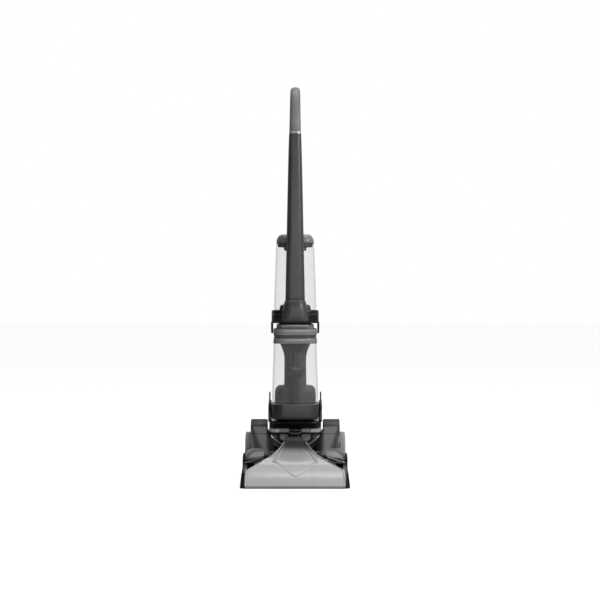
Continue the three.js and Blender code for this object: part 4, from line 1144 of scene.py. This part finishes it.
def pedal():
    """The release pedal: a rounded pad with raised bars across it."""
    pad = [(152.4, 56.4), (175, 56.2), (177.6, 57.6), (177.8, 60.0), (175.4, 61.8), (152.4, 61.8)]
    made = piece("recline_pedal", *slab(pad, -71.6, -36.4), "pedal", black_abs, ["recline_pedal"])
    round_edges(made, 1.2)
    tongue = piece("pedal_tongue", *block((-63.6, 142.4, 57.2), (-44.4, 153, 60.8)), "pedal", black_abs)
    round_edges(tongue, 0.5)
    for k in range(5):
        y = 156.4 + k * 4.2
        bar = piece(f"pedal_bar_{k}", *block((-67, y, 61.2), (-41, y + 1.8, 62.0)), "pedal", black_rubber)
        round_edges(bar, 0.35)


pedal()

# ---- Wheels -------------------------------------------------------------------------------------


def wheels():
    """Each wheel: a tyre with a sunk tread, and a lacquered hub with twelve webs and a centre cap."""
    radius = wheel_at[2]

    def tread(r, along, a):
        if r < radius - 1.5 or abs(along) > 7.2:
            return r
        wave = math.cos(a * 60 + abs(along) * 0.5)
        return r - 0.9 * step((wave - 0.35) / 0.3)

    outer = [(56.2, 7.6), (60, 8.0), (63.2, 7.2), (64.6, 5.6), (65, 3.6), (65, 1.2), (64.0, 0.8)]
    tyre = [(r, -along) for r, along in outer] + outer[::-1]
    hub = [(4.5, -5.6), (13.6, -5.6), (15.4, -2.4), (49.4, -1.6), (50.6, -6.4), (55.6, -6.8)]
    hub += [(55.6, 6.8), (50.6, 6.4), (49.4, 1.6), (15.4, 2.4), (13.6, 6.6), (4.5, 6.6)]
    for word, sign in left_and_right:
        centre = (sign * wheel_at[0], wheel_at[1], wheel_at[2])

        def spun(line, steps, shape=None):
            return turned([(r, sign * along) for r, along in line], centre, "X", steps, shape)

        body, tyre_name, hub_name = f"wheel_{word}", f"wheel_tyre_{word}", f"wheel_hub_{word}"
        piece(tyre_name, *spun(tyre, 480, tread), body, tyre_rubber, [tyre_name])
        piece(hub_name, *spun(hub, 96), body, pale_lacquer_painted_light, [hub_name], sharp=30)
        for k in range(12):
            a = 2 * math.pi * k / 12
            web = [(14.6, -1.3), (50, -1.0), (50, 1.0), (14.6, 1.3)]
            points = []
            for depth in (1.2, 5.2):
                for r, w in web:
                    y = centre[1] + r * math.cos(a) - w * math.sin(a)
                    z = centre[2] + r * math.sin(a) + w * math.cos(a)
                    points.append((centre[0] + sign * (depth if r < 40 or depth < 2 else 5.6), y, z))
            sides = [(0, 1, 5, 4), (1, 2, 6, 5), (2, 3, 7, 6), (3, 0, 4, 7), (3, 2, 1, 0), (4, 5, 6, 7)]
            round_edges(piece(f"wheel_web_{word}_{k}", points, sides, body, pale_lacquer_painted_light), 0.4, 2)
        cap = [(0.01, 5.0), (12.6, 5.0), (12.6, 7.0), (11.4, 7.8), (7, 8.0), (6, 7.4), (0.01, 7.2)]
        piece(f"wheel_cap_{word}", *spun(cap, 60), body, black_abs, sharp=30)


wheels()

# ---- Neck, cradle and motor ---------------------------------------------------------------------


def drum():
    """The drum between the knuckles: two turned ends, a darker waist and cheeks beside the pipe."""
    end = [(40.8, -12), (44.2, -12), (45, -11), (45, 11), (44.2, 12), (43, 12.2), (39, 12.2)]
    end += [(37.6, 9.4), (18, 8.8), (10, 9), (10, 4), (36, 4), (37, 0), (37, -12)]
    for word, sign in left_and_right:
        line = [(r, sign * along) for r, along in end]
        shape = turned(line, (sign * 61.6, pivot[1], pivot[2]), "X", 120)
        made = piece(f"drum_end_{word}", *shape, "upper_body", graphite_abs, ["neck_drum"], sharp=32)
        round_edges(made, 0.5, 2, 40)
    waist = [(38.6, -50), (42.4, -50), (43, -49), (43, 49), (42.4, 50), (38.6, 50)]
    made = piece("drum_waist", *turned(waist, pivot, "X", 120), "upper_body", deck_abs, sharp=32)
    opening = block((-18, 0, 60), (18, pivot[1] - 4, 143.5))
    cut(made, opening, sharp=32)
    # Cheeks beside the opening, in the pale ABS that paints the highlight on each bright sloped face.
    for word, sign in left_and_right:
        outline = [(sign * x, z) for x, z in ((18.5, 113), (35, 113), (43, 119), (43, 132), (18.5, 132))]
        cheek = piece(f"drum_cheek_{word}", *slab(outline, 14.6, 34, "Y"), "upper_body", pale_abs_painted_highlight)
        round_edges(cheek, 0.9, 3, 20)
    saddle = [(152.6, 36), (153.6, 35), (165, 35), (165, 104), (150, 104), (138, 98), (138, 38)]
    top = piece("drum_saddle", *slab([(y, z) for z, y in saddle], -73, 73), "upper_body", black_abs)
    round_edges(top, 1.5)


def neck_pipe():
    """The black elbow from the drum up to the tank, with moulded rings."""
    spots = [(0, 34.2, 149.2), (0, 33.5, 155), (0, 18, 164), (0, 10.5, 171), (0, 10, 177.6)]

    def moulded_rings(s):
        return 0.8 * ridge(abs((s % 8) - 4), 1.4)

    elbow = tube(spots, 12.4, 2, 90, 36, moulded_rings)
    piece("inlet_elbow", *elbow, "upper_body", black_abs, ["inlet_elbow"])


def cradle():
    """The black tray that carries the tank, with a horn up each side."""
    half = box_mm("cradle")[1][0]
    floor = [(165.5, half - 5, -55, 127.6, 30, 33), (172.2, half - 0.4, -63.6, 127.6, 30, 34)]
    made = stacked("cradle_floor", floor, 1.6, "upper_body", black_abs, ["cradle"], corner_steps=12)
    cut(made, block((-20, -9, 150), (20, 56, 190)), sharp=34)
    apron = [(151.5, 62, -34, 14.6, 8, 16), (155, 68.6, -39, 14.6, 8, 20)]
    apron += [(160, 72, -43, 14.6, 8, 24), (165.6, 73, -47, 14.6, 8, 27)]
    under = lofted("cradle_apron", apron, 16, "upper_body", black_abs)
    cut(under, block((-16, -12, 140), (16, 62, 170)), sharp=34)
    # A silver band under the apron, with a darker middle between its two ends; the ends are in the paler
    # lacquer, painted light under the apron's shade.
    band = [(140, 70.5, -35, 12, 6, 18), (142, 73, -37, 12.6, 6, 20)]
    band += [(150, 74, -38, 12.6, 6, 21), (151.4, 73, -37, 12.6, 6, 20)]
    for name, finish, inset, low, high in (
        ("neck_band_left", pale_lacquer_painted_light, 0, 44, 90),
        ("neck_band_right", pale_lacquer_painted_light, 0, -90, -44),
        ("neck_band_middle", cap_abs, 1.4, -43.4, 43.4),
    ):
        made = piece(name, *skin(rings_of(band, inset, 12)), "upper_body", finish)
        away = [block((-100, -100, 100), (low, 100, 200)), block((high, -100, 100), (100, 100, 200))]
        if inset:
            away.append(block((-17, -100, 100), (17, 100, 200)))
        cut(made, *away, sharp=34)
        round_edges(made, 0.6, 2, 40)
    outline = []
    crest = 0.62
    for t in np.linspace(0, 1, 40):
        z = 172 + 89 * math.sin(math.pi * min(t, crest) / 0.86 * 0.5) ** 1.15
        if t >= crest:
            u = (t - crest) / (1 - crest)
            z += 3.5 * math.sin(u * math.pi / 2) - 9 * u**2
        outline.append((-34 + 74 * t, z))
    outline += [(40, 172), (-34, 172)]
    for word, sign in left_and_right:
        low, high = sorted((sign * (half - 3.8), sign * (half - 0.1)))
        horn = piece(f"cradle_horn_{word}", *slab(outline, low, high), "upper_body", black_abs)
        round_edges(horn, 1.6, 3, 40)
        foot_line = [(-50, 171), (-50, 190), (-40, 212), (-30, 224), (36, 228), (40, 224), (40, 171)]
        low, high = sorted((sign * (half - 6.8), sign * (half + 1.2)))
        base = piece(f"cradle_cheek_{word}", *slab(foot_line, low, high), "upper_body", black_abs)
        round_edges(base, 2.8, 4, 30)


def motor_house():
    """The motor's cover behind the tank: a soft-cornered box with a louvred exhaust at the back."""
    half = box_mm("motor_housing")[1][0]
    levels = [
        (172.8, half, 42, 128, 30, 34),
        (200, half, 42, 128, 30, 34),
        (235, half, 42, 128, 30, 34),
        (252, half - 1, 42.4, 127, 30, 34),
        (260, half - 4, 44, 123.6, 30, 33),
        (265, half - 9, 47, 118, 28, 30),
        (267, half - 15, 52, 111, 24, 26),
    ]
    made = lofted("motor_housing", levels, 40, "upper_body", graphite_abs, ["motor_housing"])
    louvres = [184 + row * 6.4 for row in range(6)]
    away = [block((-30, 122, z), (16, 132, z + 2.8)) for z in louvres]
    button_hole = turned([(0.01, 120), (9.5, 120), (9.5, 132), (0.01, 132)], (0, 0, 235), "Y", 48)
    cut(made, *away, button_hole, sharp=34)
    round_edges(made, 0.6, 2, 55)
    seam = ring(half + 0.25, 41.8, 128.25, 30, 34, 226, 12)
    bead("housing_seam", seam, 0.5, 160, "upper_body", black_abs)
    for k, (x, z) in enumerate(((-40, 180), (-40, 250), (40, 250))):
        screw(f"housing_screw_{k}", (x, 126.4 if z < 200 else 125.2, z), (0, 1, 0), "upper_body", 3.0)
    button = [(0.01, -3.6), (8.6, -3.6), (8.6, 1.6), (7.8, 2.6), (6, 2.2), (0.01, 1.6)]
    button_at = (0, 128, 235)
    button = turned(button, button_at, "Y", 60)
    piece("power_button", *button, "power_switch", grip_elastomer, ["power_button"], sharp=30)
    surround = turned([(9.2, -2), (11.2, -2), (11.2, 0.6), (10.2, 1.3), (9.2, 0.6)], button_at, "Y", 60)
    piece("button_ring", *surround, "upper_body", silver_lacquer, sharp=30)
    gland = [(3.7, -3), (6.6, -3), (6.6, 0.3), (9.2, 0.3), (9.4, 1.6), (7.4, 2.2), (7.0, 3.6), (6.6, 3.8)]
    gland += [(6.3, 5.2), (5.9, 5.4), (5.6, 6.7), (3.7, 6.7)]
    gland = turned(gland, (34, 128, 192), "Y", 48)
    piece("cord_gland", *gland, "upper_body", black_rubber, ["cord_gland"], sharp=30)


def column():
    """The spine behind the tank, flared where it meets the collar."""
    levels = [
        (267.4, 32, 46, 92, 14, 25),
        (310, 31.2, 46, 92, 14, 25),
        (340, 31.2, 46, 92, 14, 25),
        (356, 32.6, 46, 92, 14, 25),
        (372, 37.4, 46, 92, 14, 25),
        (388, 43.6, 46, 92.4, 16, 27),
        (412, 46.6, 46, 93, 18, 18),
        (446.6, 47, 46, 94, 18, 18),
    ]
    made = lofted("column", levels, 60, "upper_body", graphite_abs, ["column"], 10)
    points = np.array([v.co for v in made.data.vertices])
    x, y, z = points.T * 1000
    # A shallow channel up the front, where the tank's back sits close.
    channel = ridge(np.maximum(abs(x) - 12, 0), 3) * (y < 52) * ridge(np.maximum(abs(z - 340) - 55, 0), 8)
    points[:, 1] += channel * 0.0016
    made.data.vertices.foreach_set("co", points.ravel())
    keep("water_line", black_rubber, 0.2)


drum()
neck_pipe()
cradle()
motor_house()
column()
keep("vacuum_motor", pressed_steel)
keep("impeller", pressed_steel, 0.3)

# ---- Collar and handle --------------------------------------------------------------------------

collar_low, collar_high = box_mm("collar")


def collar():
    """The black band that joins the handle, the spine and the clean tank's seat."""
    half = collar_high[0]
    levels = [(447.2, half, -78, 98, 36, 42), (465, half, -78, 98, 36, 42), (484, half, -78, 98, 36, 42)]
    made = stacked("collar", levels, 4, "upper_body", black_abs, ["collar"], 6, 14)
    outlet = turned([(0.01, 440), (10.6, 440), (10.6, 452), (0.01, 452)], (0, 10, 0), "Z", 48)
    cut(made, outlet, sharp=34)
    line = ring(half + 0.2, -78.2, 98.2, 36, 42, 472, 14)
    bead("collar_line", line, 0.7, 220, "upper_body", graphite_abs)
    lobe = [(-34, 451)]
    for t in np.linspace(0, 1, 28):
        a = math.pi * t
        lobe.append((-34 * math.cos(a) * (1 - 0.1 * math.sin(a)), 450 - 32 * math.sin(a) ** 0.7))
    lobe.append((34, 451))
    for word, sign in left_and_right:
        low, high = sorted((sign * 62.4, sign * (half + 1.8)))
        round_edges(piece(f"collar_lobe_{word}", *slab(lobe, low, high), "upper_body", black_abs), 2.2, 4, 40)
    seat = [(484, 44, -60, -38, 8, 8), (497, 42, -59, -39, 8, 8)]
    stacked("seat_lug", seat, 2.5, "upper_body", black_abs)


def handle_socket():
    """The shield over the handle's foot: full at its lower edge, drawn in round the stick."""
    levels = [
        (452, 35.4, -88, -50, 8, 16),
        (455, 37.4, -91.5, -50, 8, 18),
        (464, 37.4, -93.6, -50, 8, 22),
        (478, 36.2, -94, -48, 8, 24),
        (491, 34.0, -93, -45, 8, 24),
        (501, 31.4, -90.6, -43, 8, 22),
        (508, 28.9, -87.4, -42, 8, 19),
        (511.6, 26.9, -83.6, -42, 8, 16),
    ]
    made = lofted("handle_socket", levels, 44, "upper_body", graphite_abs, ["handle_socket"])
    round_edges(made, 0.8, 3, 40)
    gap_rows = [(511.0, 27.0, -82.6, -44, 9, 15.6), (515.4, 26.8, -81.2, -44, 9, 15.4)]
    stacked("socket_gasket", gap_rows, 1.0, "upper_body", black_rubber, (), 3, 12)


def seam_y(z):
    """Where the stick's parting line runs at a height."""
    return np.interp(z, [484, 697, 820, 910, 980], [-60, -59, -56, -52, -44.5])


def stick():
    """The handle: a tapered moulding with a parting line down each side."""
    levels = [
        (484.4, 27, -80, -46, 10, 15),
        (540, 26.2, -79.9, -46, 10, 15),
        (600, 25, -79.5, -46, 10, 14.5),
        (697, 23, -78, -46, 10, 14),
        (820, 20.5, -74, -44, 9, 12.5),
        (910, 18.5, -68, -40, 9, 11.5),
        (979.6, 16.5, -60, -33, 8, 10),
    ]
    made = lofted("stick", levels, 140, "upper_body", graphite_abs, ["stick"])
    points = np.array([v.co for v in made.data.vertices])
    normals = np.array([v.normal for v in made.data.vertices])
    _, y, z = points.T * 1000
    middle = seam_y(z)
    side = (abs(normals[:, 0]) > 0.8) * (abs(normals[:, 2]) < 0.5)
    points -= normals * (side * ridge(abs(y - middle), 2.4) * 0.0005)[:, None]
    made.data.vertices.foreach_set("co", points.ravel())
    for word, sign in (("left", -1), ("right", 1)):
        line = [(sign * (half + 0.1), float(seam_y(z)), z) for z, half, *_ in eased(levels, 40)[1:-1]]
        piece(f"stick_seam_{word}", *tube(line, 0.45, count=120, sides=6), "upper_body", black_abs)
    # A thin polished ring at the grip's foot, its brighter lacquer painting the highlight at the step.
    band = [(976.2, 17.2, -61.2, -32.4, 8.4, 10.4), (981.6, 17.1, -60.4, -31.8, 8.4, 10.4)]
    stacked("grip_band", band, 1.2, "upper_body", lacquer_painted_highlight, corner_steps=12)


loop_centre = (26, 1036)
loop_outside = [(-60, 980), (-54, 1010), (-40, 1050), (-14, 1090), (20, 1113), (54, 1120), (84, 1112)]
loop_outside += [(102, 1088), (102, 1056), (84, 1020), (52, 984), (10, 948), (-16, 928), (-38.5, 914)]
loop_inside = [(-22, 1000), (-15, 1038), (4, 1070), (32, 1087), (60, 1086), (73, 1068), (62, 1034)]
loop_inside += [(34, 1002), (6, 982)]


def reach(outline, angle):
    """How far the outline lies from the loop's centre at an angle."""
    cy, cz = loop_centre
    dy, dz = math.cos(angle), math.sin(angle)
    best = 0
    for (ay, az), (by, bz) in zip(outline, outline[1:] + outline[:1]):
        ey, ez = by - ay, bz - az
        det = ey * dz - ez * dy
        if abs(det) < 1e-9:
            continue
        t = (ey * (az - cz) - ez * (ay - cy)) / det
        u = (dy * (az - cz) - dz * (ay - cy)) / det
        if t > 0 and -1e-9 <= u <= 1 + 1e-9:
            best = max(best, t)
    return best


def closed_curve(spots, count):
    row = [np.array(s, float) for s in spots]
    made = []
    for i in range(count):
        t = i / count * len(row)
        k, u = int(t), t - int(t)
        made.append(tuple(spline(*(row[(k + j) % len(row)] for j in (-1, 0, 1, 2)), u)))
    return made


def grip():
    """The loop grip: a fat oval section run round the finger hole, thinner towards the top."""
    inside = closed_curve(loop_inside, 180)
    outer_path = [tuple(p) for p in np.array(eased(loop_outside, 200))]
    sides = 32
    angles = np.linspace(0, 2 * math.pi, 260, endpoint=False)
    inner = np.array([reach(inside, a) for a in angles])
    outer = np.array([reach(outer_path, a) for a in angles]) - 0.05
    rings = []
    for a, near, far in zip(angles, inner, outer):
        middle, thick = (near + far) / 2, (far - near) / 2
        line = []
        for k in range(sides):
            b = 2 * math.pi * k / sides
            c, s = math.cos(b), math.sin(b)
            power = 2 / 2.7
            r = middle + thick * math.copysign(abs(c) ** power, c)
            y, z = loop_centre[0] + r * math.cos(a), loop_centre[1] + r * math.sin(a)
            rise = min(max((z - 980) / 140, 0), 1)
            half = 16.3 * (1 - 0.15 * rise)
            line.append((half * math.copysign(abs(s) ** power, s), y, z))
        rings.append(line)
    made = piece("grip", *wrapped(rings), "upper_body", grip_elastomer, ["grip"], sharp=60)
    slot = [(-2, 1060), (71, 1060), (71, 1106), (40, 1104.5), (14, 1095.5), (-2, 1085)]
    cut(made, slab(slot, -7.3, 7.3), sharp=50)


def hooks():
    """The two cord hooks: a round stub with a flattened, upturned finger."""
    for name, up, body in (("cord_hook_upper", 1, "swivel_hook"), ("cord_hook_lower", -1, "upper_body")):
        low, high = box_mm(name)
        z = low[2] + 6 if up > 0 else high[2] - 6
        far = high[2] if up > 0 else low[2]
        spots = [(0, low[1] + 0.3, z), (0, high[1] - 9, z), (0, high[1] - 4.2, z + up * 2.5)]
        spots += [(0, high[1] - 3.2, z + up * 10), (0, high[1] - 3.6, far - up * 2.6)]
        points, faces = tube(spots, 2.7, count=44, sides=24)
        points = [(x * 2.0, y, z2) for x, y, z2 in points]
        piece(name, points, faces, body, black_abs, [name])
        plate = [(0.01, 0.2), (8.4, 0.2), (8.0, 1.8), (6, 2.6), (0.01, 2.6)]
        plate = turned([(r, low[1] + y) for r, y in plate], (0, 0, z), "Y", 40)
        piece(f"{name}_plate", *plate, body, black_abs, sharp=30)


collar()
handle_socket()
stick()
grip()
hooks()
keep("trigger", black_abs, 0.9)
keep("trigger_pin", zinc_steel, 0.2)

# ---- Dirty water tank ---------------------------------------------------------------------------


def tank_wall(levels, wall, floor_z, count=50, steps=14):
    """A cup: the outside up, over the rim, and down the inside."""
    rows = eased(levels, count)
    roll = 3.0
    foot = rolled_low(rows[0], roll, 4)
    outside = rings_of(foot + [row for row in rows if row[0] > rows[0][0] + roll], 0, steps)
    inner_levels = [row for row in rows if row[0] > floor_z + 2]
    first = inner_levels[0]
    inner_levels = [shrunk(first, 2.0, floor_z), shrunk(first, 0.6, floor_z + 0.7)] + inner_levels
    inside = rings_of(inner_levels, wall, steps)[::-1]
    return skin(outside + inside)


def dirty_tank():
    """Clear walls on a black tray, with the inlet tube, the float and its cage inside."""
    tray = [(179.2, 63.6, -72, 35.6, 12, 31), (184, 66, -74, 36.8, 14, 34), (221.9, 66.4, -74, 36.8, 14, 34)]
    made = stacked("tank_tray", tray, 2.2, "dirty_tank", polished_abs, ["dirty_tank_tray"], 5, 14)
    mouth = turned([(0.01, 170), (12.4, 170), (12.4, 230), (0.01, 230)], (0, 10, 0), "Z", 48)
    cut(made, mouth, sharp=34)
    panel = [(185.4, 66.7, -74.3, 36.9, 14, 34), (218.6, 66.9, -74.4, 36.9, 14, 34)]
    plate = stacked("tray_panel", panel, 0.6, "dirty_tank", deck_abs, (), 3, 14)
    cut(plate, block((-90, -44, 170), (90, 60, 230)), sharp=34)
    line = ring(66.9, -74.4, 37.0, 14, 34, 221.2, 14)
    bead("tray_line", line, 0.7, 200, "dirty_tank", cap_abs)

    walls = [
        (222.3, 65, -72, 34, 14, 34),
        (260, 63.9, -71.6, 34, 14, 34),
        (300, 62.6, -71, 34, 14, 34),
        (345, 61.2, -70.4, 34, 14, 33.5),
        (389.8, 60, -70, 34, 14, 33),
    ]
    piece("dirty_tank_shell", *tank_wall(walls, 2.4, 225), "dirty_tank", clear_san, ["dirty_tank_shell"])

    profile = [(11.6, 180.2), (14, 180.2), (14, 292), (19.6, 296.4), (20, 297.4), (20, 299.6)]
    profile += [(14, 299.6), (13.6, 366), (13.0, 368), (11.4, 368)]
    inlet = turned(profile, (0, 10, 0), "Z", 64)
    piece("inlet_tube", *inlet, "dirty_tank", thin_smoke_san, ["inlet_tube"], sharp=30)
    for k in range(4):
        a = math.radians(45 + 90 * k)
        x, y = 14.2 * math.cos(a), 10 + 14.2 * math.sin(a)
        fin = tube([(x, y, 228), (x, y, 260), (x, y, 290)], 1.1, count=10, sides=8)
        piece(f"tube_fin_{k}", *fin, "dirty_tank", thin_smoke_san)
    # The cage that keeps the float square.
    for word, sign in left_and_right:
        low, high = sorted((sign * 28.4, sign * 30.6))
        rail = slab([(6, 292), (14, 292), (14, 374), (6, 374)], low, high)
        round_edges(piece(f"float_rail_{word}", *rail, "dirty_tank", thin_smoke_san), 0.5, 2)
    bar = piece("float_bridge", *block((-30.6, 7, 370), (30.6, 13, 374)), "dirty_tank", thin_smoke_san)
    round_edges(bar, 0.6, 2)

    float_rows = [(z, 26.8, -9.8, 30.2, 9, 9) for z in (300.2, 311, 322.8)]
    body = stacked("tank_float", float_rows, 2.0, "float_valve", thin_smoke_san, ["tank_float"])
    cut(body, turned([(0.01, 290), (14.5, 290), (14.5, 330), (0.01, 330)], (0, 10, 0), "Z", 48), sharp=34)


def tank_lid():
    """The lid: a lower band, a grey seal in its groove, a wider upper band and a raised lighter neck."""
    rim = (61, -72, 35, 14, 34)

    def row(z, inset):
        half, front, back, back_radius, front_radius = rim
        corner_radii = max(back_radius - inset, 1), max(front_radius - inset * 0.6, 1)
        return (z, half - inset, front + inset, back - inset, *corner_radii)

    line = [(390.4, 1.2), (391.2, 0.4), (392.4, 0), (403.6, 0), (404.6, 0.4), (405, 1.2), (405, 4)]
    line += [(414, 4), (414, 1.2), (414.4, 0.4), (415.4, 0), (428.4, 0), (430.4, 0.6), (432.0, 1.8)]
    line += [(433, 3.6), (433, 9), (434.4, 8.4), (441.4, 8.8), (443.4, 9.6), (444.6, 11), (445, 13)]
    bands = skin(rings_of([row(z, i) for z, i in line], 0, 14))
    made = piece("tank_lid", *bands, "dirty_tank", smoke_san, ["tank_lid"], sharp=30)
    cut(made, turned([(0.01, 426), (10.8, 426), (10.8, 450), (0.01, 450)], (0, 10, 0), "Z", 48), sharp=30)
    ribbed = [(405.4, 3.7), (406, 1.8), (407.6, 1.2), (409.2, 1.8), (409.8, 2.4)]
    ribbed += [(410.4, 1.8), (412, 1.2), (413.2, 1.8), (413.7, 3.7)]
    seal = skin(rings_of([row(z, i) for z, i in ribbed], 0, 14))
    piece("lid_seal", *seal, "dirty_tank", seal_silicone, ["lid_seal"])
    for k, z in enumerate((396, 421)):
        trim = ring(61.25, -72.25, 35.25, 14, 34, z, 14)
        bead(f"lid_line_{k}", trim, 0.55, 200, "dirty_tank", silver_lacquer)
    bar_rows = [(434.5, 39.6, -72, -67.2, 1.6, 2.2), (443.4, 39.6, -72, -67.2, 1.6, 2.2)]
    name = "tank_release_bar"
    stacked(name, bar_rows, 1.2, "tank_release", silver_lacquer, [name], corner_steps=6)


dirty_tank()
tank_lid()

# ---- Clean water tank ---------------------------------------------------------------------------


def clean_tank():
    """The upper tank: clear tapered walls, a dark stepped plug and a satin cap with a filler."""
    walls = [
        (485, 59.2, -35.6, 95.4, 34, 30),
        (495, 59.6, -36, 96, 34, 30),
        (540, 58.3, -35.6, 93.6, 33.6, 29.6),
        (580, 57.1, -35, 91, 33, 29),
        (630, 55.3, -34, 87.4, 32, 28),
        (671.8, 53.6, -33, 84, 31, 27),
    ]
    piece("clean_tank_shell", *tank_wall(walls, 2.4, 488), "clean_tank", clear_san, ["clean_tank_shell"])

    def row(z, inset):
        return (z, 53.6 - inset, -33 + inset, 84 - inset, max(31 - inset, 1), max(27 - inset, 1))

    crown = [(672.4, 2.0), (673, 1.2), (674.4, 0.7), (679, 1.0), (684, 2.2), (688, 4.2)]
    crown += [(691.6, 6.8), (694.6, 10.2), (696.3, 14), (697, 18)]
    rows = [row(z, i) for z, i in crown]
    made = lofted("clean_tank_cap", rows, 40, "clean_tank", cap_abs, ["clean_tank_cap"], 14)
    stacked("cap_plug", [row(663, 4.4), row(672.6, 4.2)], 0.8, "clean_tank", black_rubber, (), 3, 14)
    stacked("cap_step", [row(653, 22), row(664, 21)], 1.2, "clean_tank", graphite_abs, (), 3, 14)
    hole = turned([(0.01, 640), (16.8, 640), (16.8, 700), (0.01, 700)], (0, 26, 0), "Z", 48)
    cut(made, hole, sharp=34)

    def knurl(r, along, a):
        return r - 0.8 * max(0, math.cos(a * 24)) ** 2 if r > 19 and along < 706 else r

    cap = [(0.01, 697.3), (18.6, 697.3), (20, 698), (20, 702), (20, 705), (19, 706.4), (17, 707)]
    cap += [(9, 706.4), (0.01, 706.2)]
    cap = turned(cap, (0, 26, 0), "Z", 192, knurl)
    piece("fill_cap", *cap, "clean_tank", black_abs, ["fill_cap"], sharp=40)
    handle = piece("fill_cap_bar", *block((-15.6, 23.2, 706), (15.6, 28.8, 706.9)), "clean_tank", black_abs)
    round_edges(handle, 0.4)
    boss = [(488.2, 41.6, -7.6, 61.6, 16, 16), (498.6, 40, -6, 60, 15, 15)]
    stacked("clean_tank_valve", boss, 2.0, "clean_tank", graphite_abs, ["clean_tank_valve"])
    stem = turned([(0.01, 479.2), (6.8, 479.2), (7.8, 480.4), (7.8, 486), (0.01, 486)], (0, 26, 0), "Z", 40)
    piece("valve_stem", *stem, "clean_tank", black_rubber, sharp=30)
    for k, z in enumerate((655, 641)):
        level = [(-54.2 - 0.02 * (z - 655), y, z) for y in np.linspace(18, 40 - k * 8, 8)]
        piece(f"clean_line_{k}", *tube(level, 0.45, count=16, sides=8), "clean_tank", smoke_san)


clean_tank()

# ---- Floor and light ----------------------------------------------------------------------------


def studio():
    """A plain pale floor, a white surround and three large soft lamps."""
    mesh = bpy.data.meshes.new("floor")
    mesh.from_pydata([(-30, -30, 0), (30, -30, 0), (30, 30, 0), (-30, 30, 0)], [], [(0, 1, 2, 3)])
    floor = bpy.data.objects.new("floor", mesh)
    bpy.context.scene.collection.objects.link(floor)
    paint, tree, shader = blank("matt_floor_paint", {"Roughness": 0.9, "Specular IOR Level": 0.1})
    place = add(tree, "ShaderNodeTexCoord").outputs["Object"]
    mottle = add(tree, "ShaderNodeTexNoise", {"Vector": place, "Scale": 3.0, "Detail": 2.0})
    pale = ramp(tree, mottle.outputs[0], [(0.2, "#a4a4a4"), (0.8, "#a8a8a8")])
    tree.links.new(pale, shader.inputs["Base Color"])
    # The table is lit from below for the eye alone, so that only a faint contact shadow is left.
    seen = add(tree, "ShaderNodeLightPath").outputs["Is Camera Ray"]
    glow = add(tree, "ShaderNodeMath", {0: seen, 1: 0.845}, operation="MULTIPLY")
    shader.inputs["Emission Color"].default_value = (1, 1, 1, 1)
    tree.links.new(glow.outputs[0], shader.inputs["Emission Strength"])
    mesh.materials.append(paint)

    world = bpy.data.worlds.new("surround")
    bpy.context.scene.world = world
    world.use_nodes = True
    tree = world.node_tree
    tree.nodes.clear()
    way = add(tree, "ShaderNodeTexCoord").outputs["Generated"]
    part = add(tree, "ShaderNodeSeparateXYZ", {"Vector": way})

    def fade(axis, start, end, least, most):
        """Brightness that rises along an axis of the surround."""
        span = {"Value": part.outputs[axis], "From Min": start, "From Max": end}
        span |= {"To Min": least, "To Max": most}
        return add(tree, "ShaderNodeMapRange", span).outputs[0]

    side = fade("X", -1.0, 1.0, 0.03, 0.6)
    back = fade("Y", 0.1, 0.8, 0.0, 0.9)
    both = add(tree, "ShaderNodeMath", {0: side, 1: back}, operation="MAXIMUM")
    lit = add(tree, "ShaderNodeBackground", {"Color": both.outputs[0], "Strength": 0.7})
    seen = add(tree, "ShaderNodeBackground", {"Color": (1, 1, 1, 1), "Strength": 1.0})
    ray = add(tree, "ShaderNodeLightPath").outputs["Is Camera Ray"]
    mixed = add(tree, "ShaderNodeMixShader", {0: ray, 1: lit.outputs[0], 2: seen.outputs[0]})
    out = add(tree, "ShaderNodeOutputWorld")
    tree.links.new(mixed.outputs[0], out.inputs["Surface"])

    for name, place, aim, size, power in (
        ("key_lamp", (2.4, -2.6, 2.2), (0, 0, 0.5), 1.6, 70),
        ("fill_lamp", (0.4, -3.6, 1.0), (0, 0, 0.4), 1.2, 16),
        ("top_lamp", (0.3, 0.4, 3.4), (0, 0, 0.5), 2.2, 55),
    ):
        lamp = bpy.data.lights.new(name, "AREA")
        lamp.size = size
        lamp.energy = power
        made = bpy.data.objects.new(name, lamp)
        made.location = place
        made.rotation_euler = (Vector(aim) - Vector(place)).to_track_quat("-Z", "Y").to_euler()
        bpy.context.scene.collection.objects.link(made)
    bpy.context.scene.view_settings.view_transform = "Standard"


studio()
